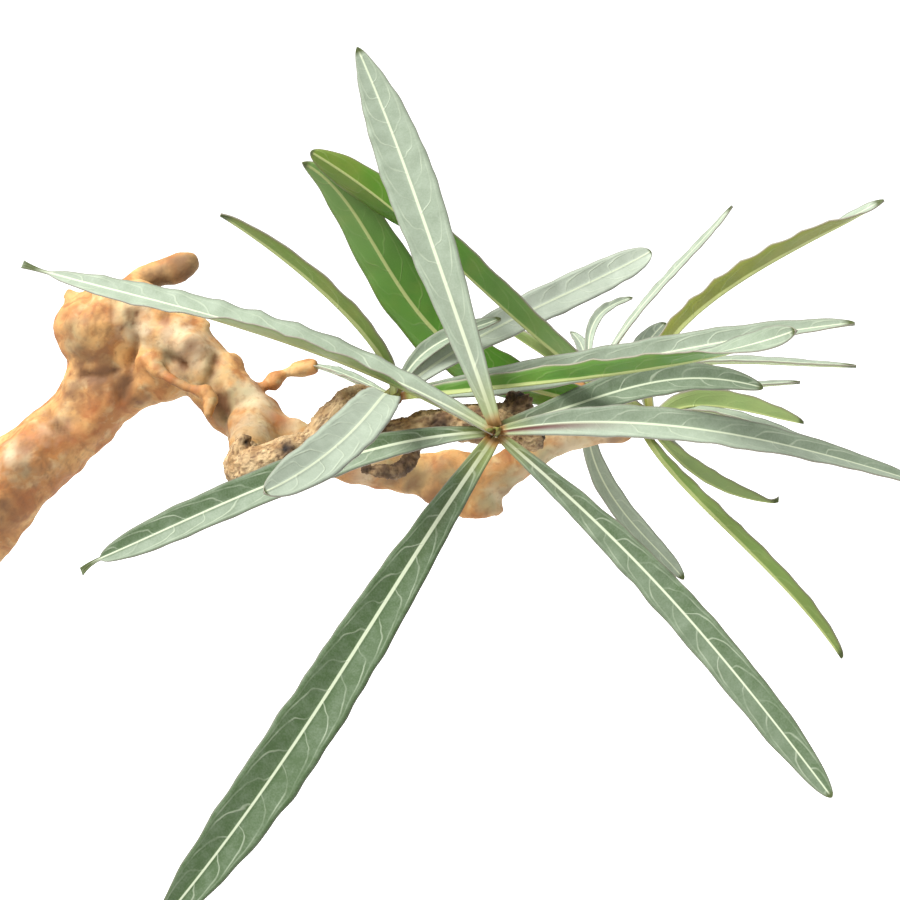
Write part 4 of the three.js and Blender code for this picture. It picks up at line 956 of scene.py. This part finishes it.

# %% [markdown]
# Marks on the bark are written down by where they are and how wide. A scar is a shallow dish with a raised
# rim, where a leaf or a twig broke off. The patches only colour the skin: cream where the skin is young,
# rust where it is bruised, moss for a grey-green cast that is partly the bark's own and partly painted shade
# on the lower sides, and shade for painted shade where the wood lies in shadow, as on the neck and trunk
# under the head and below the branches, with a darker brown at the end of the long branch. On the rough
# twigs, the dead patches are dark and crumble too. A bulge has its lift in millimetres as a fifth number. A
# crease is a line that is pressed into the bark, where two swellings meet, and painted shade darkens it.

# %% Marks on the bark
SCARS = [
    (104.7, 16.2, 286.6, 2.2), (127.3, 12, 287, 2.4), (133.4, 8.1, 282, 2.2), (160.6, 12.8, 276, 1.5),
    (138.9, 2.6, 273.4, 1.9), (137.2, -3.3, 268.6, 1.2), (143.4, 10.8, 278.6, 1.8), (198, -3.6, 246.6, 3.2),
    (96, -1.5, 262, 2.6), (70, -4, 232, 1.8), (24, -15, 186, 4), (52, -8, 215, 3), (-22, -30, 140, 5),
    (28, -26, 142, 4), (30, 22, 150, 4), (-14, 36, 126, 5), (60, 16, 226, 3),
]
SMOOTH_PATCHES = {
    "cream": [
        (93.6, 2.1, 259.7, 5), (103.2, 3, 265, 5), (120.8, 10.3, 285.2, 5), (129.7, 9, 284.5, 5),
        (136.3, 6.9, 281.7, 5), (146.2, 3.6, 272.4, 5), (148.8, 2.1, 268.3, 4), (121.4, 16.4, 290.2, 4),
        (103.2, -0.9, 254.2, 5), (133, 10, 279, 6), (147, -6, 267.5, 5), (212, -4, 260.5, 4),
        (217, -3.5, 263, 5), (171, -3, 257, 4), (201, -6, 251.5, 4), (206, -6, 255, 4), (224, -2, 265, 4),
        (155, 2, 265, 4),
    ],
    "rust": [
        (114.8, 11.8, 289.3, 2.8), (96.1, 5.6, 263.5, 4.5), (112.8, 4.7, 263.9, 4), (95.5, -2.8, 249.1, 8),
        (124.5, 3.5, 278.2, 3), (142.8, 7.4, 279.9, 2.6), (138.6, -5, 275.3, 2), (107.3, 14.5, 290.8, 4),
        (104, 11.1, 281.5, 4), (152.8, 0.7, 267.6, 3), (185.6, -6.2, 251.5, 4), (197, -7.5, 248, 3),
        (177.9, -2.1, 257, 3), (106, 5, 262, 5), (111, 8, 268, 4), (108, 9, 279, 4), (116, 8, 270, 4),
        (133.2, 6.9, 282.4, 2.1), (127.5, 10.8, 287.4, 2.4), (129, 4.8, 276.6, 2), (134, 1.6, 274.4, 1.8),
        (144, 9, 279, 2.6), (118, 5, 272, 4), (100, 12, 288, 4), (168, -2.5, 258.5, 4), (198, -8, 246, 3),
    ],
    "shade": [
        (92, -2, 245.5, 7), (96, -3, 248, 5), (84, -5, 238, 8), (131, 6.5, 276.8, 3), (139, 4, 270.5, 3),
        (121, 9, 268.5, 3), (112, 10, 274, 5), (106, 9, 272, 5), (117, 10, 273, 4), (108, 11, 277, 4),
        (113, 11, 277.5, 4), (124, 28, 291.5, 4), (130, 29.5, 294, 4), (230, 0, 264.5, 4),
        (226, -2, 263.5, 3), (182, -4, 254.5, 3), (187, -4.5, 252.5, 3), (178, -3, 256, 2.5),
        (203, -5.5, 252, 2.5),
    ],
    "moss_and_shade": [
        (96.4, 0.4, 254.9, 4), (118.6, 11.5, 288.3, 3), (141.4, 3.2, 271.4, 4.5), (138.5, 5.1, 276.5, 3.5),
        (131.8, 5.6, 275.2, 3), (165.9, -0.6, 261.1, 4), (190, -3.6, 255.7, 4), (201, -2.8, 254.9, 4),
        (210.8, -1.9, 260.4, 4), (107.3, 12.2, 284.6, 3), (107, 11.5, 280.5, 4), (127, 7.5, 279.5, 3),
        (136, 5, 274.4, 3), (141, 3, 268.5, 4), (150, -1, 263, 4), (125, 29, 291, 5), (131, 31, 294, 4),
        (198, -6, 251, 3), (203, -5, 255, 4), (190, -6, 252.5, 4), (183, -3.5, 255, 5),
        (177, -2.5, 257.5, 4),
    ],
}
ROUGH_SCARS = [
    (147, -23.6, 271.2, 1.5), (155.4, -29, 272.3, 2), (205, -18.5, 281, 2.2), (211, -20.6, 270.9, 3.4),
    (170.8, -25.4, 266.6, 1.3), (166, -27, 272, 1.6),
]
ROUGH_PATCHES = {
    "cream": [
        (150, -29, 266, 4), (160, -28, 270, 3),
    ],
    "rust": [
        (208, -20, 281.5, 1.4), (202, -22, 273, 3), (168, -24, 275, 3),
    ],
    "dead": [
        (181.6, -23, 268.6, 3.6), (180, -25, 266.4, 4.4), (177, -26, 265.8, 4.4), (172, -25.8, 266.3, 4.4),
        (204.7, -19, 278.8, 5), (204.9, -20, 281.5, 5), (210.5, -21, 272, 3.4), (147, -21, 271, 2.6),
        (156, -29, 271.4, 2.4), (176, -22, 273, 3), (188, -22, 275, 3), (196, -22, 275, 4),
    ],
}
BULGES = [
    (129, 10.5, 283, 6, 1.1), (133.3, 9.6, 282, 2.7, 1.7), (144.5, 4.6, 272.8, 6, 1.5),
    (140.5, 10.4, 279, 2.6, 0.7), (150.9, 7.2, 268.8, 2, 0.8), (152.8, -0.1, 267, 1.7, 0.7),
    (156, 1.5, 266.9, 1.7, 0.6), (159.5, 1, 264, 2, 0.5), (105, 15.3, 286.9, 3.6, 0.9),
    (113, 11.5, 289, 4, 0.8), (110, 12, 281, 4, 0.6), (126.9, 9.9, 269.6, 1.8, 0.7),
    (121.7, 12, 276.8, 2, 1.3), (125.2, 7.4, 276.8, 1.4, 0.8), (128.9, 30, 290, 2.4, 1.2),
    (121, 22, 291, 3, 0.9), (151.2, 10.4, 272, 1, 0.8), (123, 12, 284, 2.4, 0.8),
    (127, 9.5, 285.5, 2.2, 0.8), (136, 9, 278.5, 2.2, 0.7), (141, 3.5, 274.5, 2.4, 0.8),
    (149, 3, 269.5, 2.6, 0.8), (145, 0, 268, 2.5, 0.8), (100, 14, 283, 2.6, 0.8), (109, 9.5, 285, 2.6, 0.6),
    (117, 10.5, 286, 2.2, 0.7), (118, 6, 275, 2.2, 0.7), (96, 4, 256, 5, 0.5), (30, -12, 190, 9, 1),
    (75, 2, 236, 6, 0.6), (172, -3, 258, 4, 0.6), (183, 3, 258, 4, 0.5), (207, -3, 259, 3.5, 0.6),
    (217, 2, 264, 3, 0.5),
]
CREASES = [
    [(120.8, 13.2, 287.8), (120.9, 12.5, 282.2), (120.3, 14, 277.8), (119.2, 10.3, 273.6),
     (117.4, 9.7, 269.6)],
    [(108.5, 11.3, 274.7), (112.6, 10.4, 274.3), (115.9, 11, 275.7)],
    [(138.7, 8.9, 279.2), (138, 6.2, 276.6), (136.6, 5.4, 273.6), (136.2, 5.6, 271.5)],
    [(139.2, 4, 275), (140.2, 3.5, 271.3), (141.4, 2.3, 268.9)],
    [(128.2, 10.3, 279.5), (131.4, 8, 278)],
    [(98, 12, 267), (100.6, 9.8, 265.6), (103.8, 6.3, 263.3), (105.9, 5.9, 261.1)],
]
CREASE_WIDTH = 1.2
print("scars, bulges and creases:", len(SCARS) + len(ROUGH_SCARS), len(BULGES), len(CREASES))

# %% [markdown]
# A few short functions tell how much of these marks a point of the bark gets. Each mark fades out from its
# middle, and a patch has a ragged outline, because nothing on bark ends in a circle.

# %% Strength of the marks
def crease_strength(point):
    """How deep in a crease a point lies, from 0 to 1."""
    nearest = 9
    for line in CREASES:
        for start, end in zip(line, line[1:]):
            start, end = Vector(start), Vector(end)
            along = end - start
            w = min(1, max(0, (point - start).dot(along) / along.length_squared))
            nearest = min(nearest, (point - start - along * w).length)
    return math.exp(-(nearest / CREASE_WIDTH) ** 2)


def bulge_height(point):
    """How far the knobs and swellings lift the bark at a point, in millimetres."""
    height = 0
    for x, y, z, radius, lift in BULGES:
        away = (point - Vector((x, y, z))).length / radius
        if away < 2.2:
            height += lift * math.exp(-away ** 2)
    return height


def mark_strength(marks, point, ragged):
    """How strongly the nearest mark shows at a point, with a ragged outline."""
    best = 0
    for x, y, z, radius in marks:
        away = (point - Vector((x, y, z))).length / radius
        if away < 1.5:
            best = max(best, min(1, max(0, 1.25 - away + ragged)))
    return best


def seated(marks, skin):
    """Marks moved onto the nearest vertex of the skin, so that none hides in the wood or hangs before it."""
    tree = kdtree.KDTree(len(skin.verts))
    for index, vert in enumerate(skin.verts):
        tree.insert(vert.co, index)
    tree.balance()
    return [(*tree.find(mark[:3])[0], mark[3]) for mark in marks]


def dish(scars, point):
    """The depth of the scars at a point in millimetres, and how dark they are there."""
    height, dark = 0, 0
    for x, y, z, radius in scars:
        away = (point - Vector((x, y, z))).length / radius
        if away < 2.5:
            rim = 0.55 * math.exp(-((away - 1) / 0.35) ** 2)
            height += 0.2 * radius * (rim - math.exp(-(away / 0.6) ** 2))
            dark = max(dark, math.exp(-(away / 0.62) ** 2))
    return height, dark

# %% [markdown]
# Each vertex of a skin finds the nearest ring of the limbs with a k-d tree, which tells it how thick the
# limb is there and which way it runs. Thick wood gets larger lumps than thin twigs. Its wrinkles run round
# the limb, so they are a wave along it, and only thick wood has them.

# %% The old smooth wood
# How many millimetres each pattern takes to change
SWELL_SIZE, KNUCKLE_SIZE, FOLD_SIZE, PORE_SIZE = 11, 3.8, 1.9, 1.5
WRINKLE_SPACING = 2.6
WRINKLE_DEPTH = 0.16
CREASE_DEPTH = 1.3

# Over how many millimetres above the soil the lumps set in, and from where along X the head's creases are
SOIL_BLEND = 6
HEAD_FROM = 85


def ring_finder(frames):
    """A k-d tree of the rings' middles."""
    tree = kdtree.KDTree(len(frames))
    for index, frame in enumerate(frames):
        tree.insert(frame[0], index)
    tree.balance()
    return tree


def bark_wrinkle(point, radius, direction):
    """A fine wrinkle round thick wood in millimetres, nought or less."""
    wave = math.sin(point.dot(direction) * 2 * math.pi / WRINKLE_SPACING + 6 * noise.noise(point / 7))
    here = max(0, 0.4 + 1.5 * noise.noise(point / 9 + Vector((5, 0, 0))))
    thick = min(1, max(0, (radius - 4.5) / 2))
    return -WRINKLE_DEPTH * max(0, wave - 0.55) * (here * thick)


bm = bmesh.new()
frames = add_limb(bm, smooth_path(TRUNK, 5), 48, Vector((1, 0, 0)), trunk_lump)
for points in SMOOTH_LIMBS:
    start = Vector(points[1][:3]) - Vector(points[0][:3])
    frames += add_limb(bm, smooth_path(points, 5), 20, start.orthogonal())
frames += add_limb(bm, smooth_path(BROKEN_STUB, 5), 20, Vector((1, 0, 0)), rounding=0.25)
SMOOTH_VOXEL = 0.82
skin = melt(bm, SMOOTH_VOXEL, 3)
finder = ring_finder(frames)
patch_layer = skin.verts.layers.float_vector.new("patch")
hollow_layer = skin.verts.layers.float_vector.new("hollow")
scars = seated(SCARS, skin)
moves = []
for vert in skin.verts:
    point = vert.co
    middle, radius, direction, across, away = frames[finder.find(point)[1]]
    swell = noise.fractal(point / SWELL_SIZE, 1, 2, 2) * min(0.9, 0.07 * radius)
    knuckle = noise.noise(point / KNUCKLE_SIZE) * min(0.6, 0.09 * radius + 0.12)
    folds = noise.noise(point / FOLD_SIZE) * 0.2 * min(1, (5 / radius) ** 2)
    pore = noise.noise(point / PORE_SIZE) * 0.05
    wrinkle = bark_wrinkle(point, radius, direction)
    unburied = min(1, max(0, (point.z - SOIL_TOP) / SOIL_BLEND))
    scar_height, scar_dark = dish(scars, point)
    crease = crease_strength(point) * (1 + 0.4 * noise.noise(point / 2)) if point.x > HEAD_FROM else 0
    height = (swell + knuckle + folds + wrinkle + pore) * unburied + scar_height + bulge_height(point)
    ragged = 0.5 * noise.noise(point / 1.8) + 0.25 * noise.noise(point / 0.9)
    marks = {kind: mark_strength(places, point, ragged) for kind, places in SMOOTH_PATCHES.items()}
    # The moss patches are partly the bark's own grey-green and partly painted shade on the lower sides.
    vert[patch_layer] = Vector((0.75 * marks["cream"], 0.65 * marks["rust"], 0.6 * marks["moss_and_shade"]))
    # Painted shade darkens the wrinkles' grooves, the creases and the shade patches.
    painted_shade = -7 * wrinkle + 0.7 * crease + 0.8 * marks["shade"]
    vert[hollow_layer] = Vector((0.55 * scar_dark, min(1, painted_shade), 0))
    moves.append((vert, vert.normal * (height - CREASE_DEPTH * crease)))
for vert, move in moves:
    vert.co += move
finish_piece("smooth_wood", skin, [smooth_bark], "woody_body")

# %% [markdown]
# The cork on the twigs cracks into plates. The distance between the two nearest points of a Voronoi pattern
# is nought exactly where a crack runs, so it gives the cracks their depth, and each cell's own number lifts
# its plate a little. The pattern is stretched along the twig. The dead ends crumble, which the same kind of
# noise makes with a finer grain.

# %% The rough twigs
PLATE = 1.1
PLATE_LIFT = 0.12
PLATE_STRETCH = 0.45
CRACK_WIDTH = 0.22
CRACK_DEPTH = 0.3
CRUMBLE_SIZE, CRUMBLE_DEPTH = 1.1, 0.65

# noise_vector shifts its pattern by this seed, and by the clock where none is set
noise.seed_set(4)

bm = bmesh.new()
frames = []
for points in ROUGH_LIMBS:
    start = Vector(points[1][:3]) - Vector(points[0][:3])
    frames += add_limb(bm, smooth_path(points, 6), 20, start.orthogonal())
ROUGH_VOXEL = 0.32
skin = melt(bm, ROUGH_VOXEL, 4)
finder = ring_finder(frames)
patch_layer = skin.verts.layers.float_vector.new("patch")
hollow_layer = skin.verts.layers.float_vector.new("hollow")
cork_layer = skin.verts.layers.float_vector.new("cork")
scars = seated(ROUGH_SCARS, skin)
moves = []
for vert in skin.verts:
    point = vert.co
    middle, radius, direction, across, away = frames[finder.find(point)[1]]
    spoke = point - middle
    local = Vector((spoke.dot(across), spoke.dot(away), PLATE_STRETCH * point.dot(direction)))
    vert[cork_layer] = Vector((local.x, local.y, 0.5 * local.z))
    local += noise.noise_vector(point / 1.8) * 0.9
    nearest, cells = noise.voronoi(local / PLATE)
    broken = min(1, max(0, 0.35 + 2 * noise.noise(point / 3.5)))
    crack = broken * max(0, 1 - (nearest[1] - nearest[0]) / CRACK_WIDTH)
    plate = PLATE_LIFT * noise.cell(cells[0] * 7)
    swell = noise.fractal(point / 4, 1, 2, 3) * 0.55
    fibre = noise.noise(Vector((local.x * 1.6, local.y * 1.6, local.z * 0.4))) * 0.32
    fibre += noise.noise(point / 0.8) * 0.14
    dead = mark_strength(ROUGH_PATCHES["dead"], point, 0.5 * noise.noise(point / 1.2))
    crumble = dead * noise.fractal(point / CRUMBLE_SIZE, 1, 2, 3) * CRUMBLE_DEPTH
    scar_height, scar_dark = dish(scars, point)
    ragged = 0.5 * noise.noise(point / 1.2)
    cream, rust = [mark_strength(ROUGH_PATCHES[kind], point, ragged) for kind in ("cream", "rust")]
    vert[patch_layer] = Vector((0.6 * cream, 0.7 * rust, 0.95 * dead))
    # The crumbling hollows, the cracks and the fibres' grooves get painted shade; the scars keep their own
    # dark.
    pit = max(scar_dark, 0.8 * max(0, -2 * crumble))
    vert[hollow_layer] = Vector((pit, 0.65 * crack + max(0, -1.6 * fibre), 0))
    moves.append((vert, vert.normal * (swell + fibre + plate + crumble - CRACK_DEPTH * crack + scar_height)))
for vert, move in moves:
    vert.co += move
finish_piece("rough_twigs", skin, [rough_bark], "woody_body")

# %% [markdown]
# ## The pot
#
# A plain flowerpot is thrown or pressed from red clay and fired without a glaze, so it is matt, slightly
# grainy and paler where salts dried on it. Its wall is drawn once and spun round the axis. The drain holes
# are cut with a Boolean, as a potter cuts them through the soft floor.

# %% Terracotta
terracotta, tree = start_material("unglazed_fired_terracotta")
place = put(tree, "ShaderNodeTexCoord", output="Object")
height = put(tree, "ShaderNodeSeparateXYZ", {0: place}, output="Z")
fire = put(tree, "ShaderNodeTexNoise", {"Vector": place, "Scale": per_metre(28), "Detail": 5}, output="Fac")
fire = put(tree, "ShaderNodeMapRange", {"Value": fire, "From Min": 0.36, "From Max": 0.64})
salt = put(tree, "ShaderNodeTexNoise", {"Vector": place, "Scale": per_metre(9), "Detail": 7,
                                        "Roughness": 0.62}, output="Fac")
salt = put(tree, "ShaderNodeMapRange", {"Value": salt, "From Min": 0.52, "From Max": 0.72})
grit = put(tree, "ShaderNodeTexNoise", {"Vector": place, "Scale": per_metre(0.8), "Detail": 4}, output="Fac")
pit = put(tree, "ShaderNodeMapRange", {"Value": grit, "From Min": 0.62, "From Max": 0.7})
# Darker towards the bottom, over the pot's lowest 30 mm.
darker_below = put(tree, "ShaderNodeMapRange", {"Value": height, "From Min": 30 * MM, "From Max": 0})
colour = coated(tree, "#b0643f", [
    (fire, 1, "#c67c54"), (darker_below, 0.35, "#8c4c31"), (salt, 0.5, "#dcb79c"), (pit, 0.4, "#7d4029"),
])
bump = put(tree, "ShaderNodeBump", {"Height": grit, "Strength": 0.5, "Distance": 0.2 * MM})
skin = put(tree, "ShaderNodeBsdfPrincipled", {"Base Color": colour, "Roughness": 0.88, "Normal": bump})
put(tree, "ShaderNodeOutputMaterial", {"Surface": skin}, output=None)
print(terracotta.name, len(tree.nodes), "nodes")

# %% [markdown]
# The wall's profile is a line of corners, each with the radius that fingers or a mould leave there. The CAD
# pot has the same corners. A thrown pot is never quite round or smooth, so faint throwing rings are added.

# %% Pot
POT_HEIGHT = 104
POT_BASE = 48
POT_NECK = 63
POT_RIM = 71
RIM_HEIGHT = 24
POT_WALL = 4.5
POT_FLOOR = 6
TURNING_STEPS = 144
THROWING_RINGS = 0.12
OUT_OF_ROUND = 0.25


def spun(bm, profile):
    """Turns a line of radius and height pairs once round the Z axis."""
    verts = [bm.verts.new((radius, 0, height)) for radius, height in profile]
    edges = [bm.edges.new(pair) for pair in zip(verts, verts[1:])]
    bmesh.ops.spin(bm, geom=verts + edges, cent=(0, 0, 0), axis=(0, 0, 1), dvec=(0, 0, 0),
                   angle=2 * math.pi, steps=TURNING_STEPS, use_merge=True, use_duplicate=False)
    bmesh.ops.remove_doubles(bm, verts=bm.verts, dist=1e-4)
    bmesh.ops.recalc_face_normals(bm, faces=bm.faces)


def rounded(corner, before, after, radius, steps=5):
    """A corner of a profile as a short arc between its two sides."""
    corner, before, after = Vector(corner), Vector(before), Vector(after)
    start = corner + (before - corner).normalized() * radius
    end = corner + (after - corner).normalized() * radius
    shares = [i / steps for i in range(steps + 1)]
    return [tuple(start.lerp(corner, w).lerp(corner.lerp(end, w), w)) for w in shares]


rim_foot = POT_HEIGHT - RIM_HEIGHT
inside = POT_NECK - POT_WALL + 1.5
outline = [(0, 0), (POT_BASE, 0), (POT_NECK, rim_foot), (POT_RIM - 1.2, rim_foot), (POT_RIM, POT_HEIGHT),
           (POT_RIM - POT_WALL, POT_HEIGHT), (inside, rim_foot), (POT_BASE - POT_WALL, POT_FLOOR),
           (0, POT_FLOOR)]
corner_radii = [0, 1.5, 1, 1.6, 1.8, 1.8, 3, 4, 0]
profile = []
for i, corner in enumerate(outline):
    if corner_radii[i]:
        profile += rounded(corner, outline[i - 1], outline[i + 1], corner_radii[i])
    else:
        profile.append(corner)
bm = bmesh.new()
spun(bm, profile)
for vert in bm.verts:
    angle = math.atan2(vert.co.y, vert.co.x)
    if vert.co.xy.length > POT_BASE - POT_WALL:
        throw = THROWING_RINGS * math.sin(vert.co.z * 1.1 + angle) + OUT_OF_ROUND * math.sin(2 * angle + 0.4)
        vert.co.xy *= 1 + throw / vert.co.xy.length
pot = finish_piece("flowerpot", bm, [terracotta], "terracotta_pot")

# %% [markdown]
# Three drain holes stand round the middle of the floor, where the CAD pot has them. The Boolean's result is
# kept as the pot's own mesh, so no cutter is left in the scene.

# %% Drain holes
DRAIN_HOLES = 3
DRAIN_RADIUS = 5
DRAIN_RING = 26

cutters = bmesh.new()
for i in range(DRAIN_HOLES):
    angle = 2 * math.pi * i / DRAIN_HOLES
    where = Matrix.Translation((DRAIN_RING * math.cos(angle), DRAIN_RING * math.sin(angle), 0))
    bmesh.ops.create_cone(cutters, cap_ends=True, segments=32, radius1=DRAIN_RADIUS, radius2=DRAIN_RADIUS,
                          depth=4 * POT_FLOOR, matrix=where)
bmesh.ops.scale(cutters, vec=(MM, MM, MM), verts=cutters.verts)
cutter_mesh = bpy.data.meshes.new("drain_cutters")
cutters.to_mesh(cutter_mesh)
cutters.free()
cutter = bpy.data.objects.new("drain_cutters", cutter_mesh)
scene.collection.objects.link(cutter)
cut = pot.modifiers.new("drain_holes", "BOOLEAN")
cut.operation = "DIFFERENCE"
cut.solver = "EXACT"
cut.object = cutter
shown = pot.evaluated_get(bpy.context.evaluated_depsgraph_get())
drained = bpy.data.meshes.new_from_object(shown)
pot.modifiers.clear()
pot.data = drained
bpy.data.objects.remove(cutter)
print("pot faces with its drain holes:", len(drained.polygons))

# %% [markdown]
# ## Soil and grit
#
# Such a plant stands in a gritty mix: dark crumbs of earth under a dressing of small stones, which are pale
# pumice and brown lava. Each stone takes one of six colours by the number drawn for it, which its vertices
# carry as the attribute "shade".

# %% Soil materials
earth, tree = start_material("gritty_potting_earth")
place = put(tree, "ShaderNodeTexCoord", output="Object")
crumb = put(tree, "ShaderNodeTexNoise", {"Vector": place, "Scale": per_metre(1.8), "Detail": 6}, output="Fac")
crumb = put(tree, "ShaderNodeMapRange", {"Value": crumb, "From Min": 0.35, "From Max": 0.65})
colour = coated(tree, "#3a2b20", [(crumb, 1, "#6b5440")])
bump = put(tree, "ShaderNodeBump", {"Height": crumb, "Strength": 0.8, "Distance": 0.5 * MM})
skin = put(tree, "ShaderNodeBsdfPrincipled", {"Base Color": colour, "Roughness": 0.95, "Normal": bump})
put(tree, "ShaderNodeOutputMaterial", {"Surface": skin}, output=None)

STONES = ["#d8cdb8", "#b39a7c", "#8a6f58", "#5f4436", "#c2b8a8", "#7b5a41"]
stone, tree = start_material("crushed_pumice_and_lava")
shade = put(tree, "ShaderNodeAttribute", output="Fac", attribute_name="shade")
place = put(tree, "ShaderNodeTexCoord", output="Object")
pores = put(tree, "ShaderNodeTexNoise", {"Vector": place, "Scale": per_metre(0.6), "Detail": 4}, output="Fac")
kinds = put(tree, "ShaderNodeValToRGB", {0: shade}, output=None)
kinds.color_ramp.interpolation = "CONSTANT"
for i, hue in enumerate(STONES):
    stop = kinds.color_ramp.elements[i] if i < 2 else kinds.color_ramp.elements.new(i / len(STONES))
    stop.position = i / len(STONES)
    stop.color = linear(hue)
colour = put(tree, "ShaderNodeMix", {0: pores, MIX_A: kinds.outputs[0], MIX_B: linear("#8f7a64")},
             output=MIX_COLOUR, data_type="RGBA")
bump = put(tree, "ShaderNodeBump", {"Height": pores, "Strength": 0.6, "Distance": 0.2 * MM})
skin = put(tree, "ShaderNodeBsdfPrincipled", {"Base Color": colour, "Roughness": 0.9, "Normal": bump})
put(tree, "ShaderNodeOutputMaterial", {"Surface": skin}, output=None)
print("stone colours:", len(STONES))

# %% [markdown]
# The bed is spun like the pot and then roughened. It lies 0.3 mm off the pot and off the caudex's foot,
# which stands in a plain hole.

# %% Soil bed
GAP = 0.3
BED_RINGS = 24
MOUND = 2.5
hole = FOOT_RADIUS + GAP
hole_floor = SOIL_TOP - FOOT_DEPTH - GAP
wall_top = inside + (POT_RIM - POT_WALL - inside) * (SOIL_TOP - rim_foot) / RIM_HEIGHT - 2 * GAP
lip = hole - 0.8


def mound(w):
    """The bed's height at a share w of the way from the pot's wall to the caudex."""
    return SOIL_TOP + MOUND * math.sin(math.pi * min(1, 1.15 * w)) * (1 - 0.3 * w)


top = [(wall_top + (lip - wall_top) * i / BED_RINGS, mound(i / BED_RINGS)) for i in range(BED_RINGS + 1)]
bm = bmesh.new()
spun(bm, [(0, POT_FLOOR + GAP), (POT_BASE - POT_WALL - GAP - 3, POT_FLOOR + GAP),
          (inside - 1.2, rim_foot)] + top + [(lip, hole_floor), (0, hole_floor)])
for vert in bm.verts:
    if vert.co.z > SOIL_TOP - 1:
        vert.co.z += 0.8 * noise.fractal(vert.co / 5, 1, 2, 3) + 0.5 * noise.noise(vert.co / 1.7)
finish_piece("soil_bed", bm, [earth], "potting_soil")

# %% [markdown]
# The stones are small spheres of 20 faces, squashed, turned and dented, and scattered over the bed by a
# seeded draw, so every run gives the same stones.

# %% Stones
STONE_COUNT = 640
DENT = 0.12
chance = random.Random(7)
bm = bmesh.new()
shade_layer = bm.verts.layers.float.new("shade")
for i in range(STONE_COUNT):
    size = chance.uniform(0.7, 1.9)
    angle = chance.uniform(0, 2 * math.pi)
    radius = math.sqrt(chance.uniform((hole + 3.5) ** 2, (wall_top - 1.6 * size) ** 2))
    height = mound((wall_top - radius) / (wall_top - hole)) + 0.35 * size
    squash = Matrix.Diagonal((1, chance.uniform(0.7, 1), chance.uniform(0.55, 0.85), 1))
    turn = Matrix.Rotation(chance.uniform(0, 6.3), 4, "Z") @ Matrix.Rotation(chance.uniform(0, 0.7), 4, "X")
    where = Matrix.Translation((radius * math.cos(angle), radius * math.sin(angle), height))
    ball = bmesh.ops.create_icosphere(bm, subdivisions=1, radius=size, matrix=where @ turn @ squash)["verts"]
    kind = chance.random()
    for vert in ball:
        vert[shade_layer] = kind
        vert.co += Vector([chance.uniform(-DENT, DENT) * size for axis in range(3)])
finish_piece("grit_dressing", bm, [stone], "potting_soil", smooth=False)
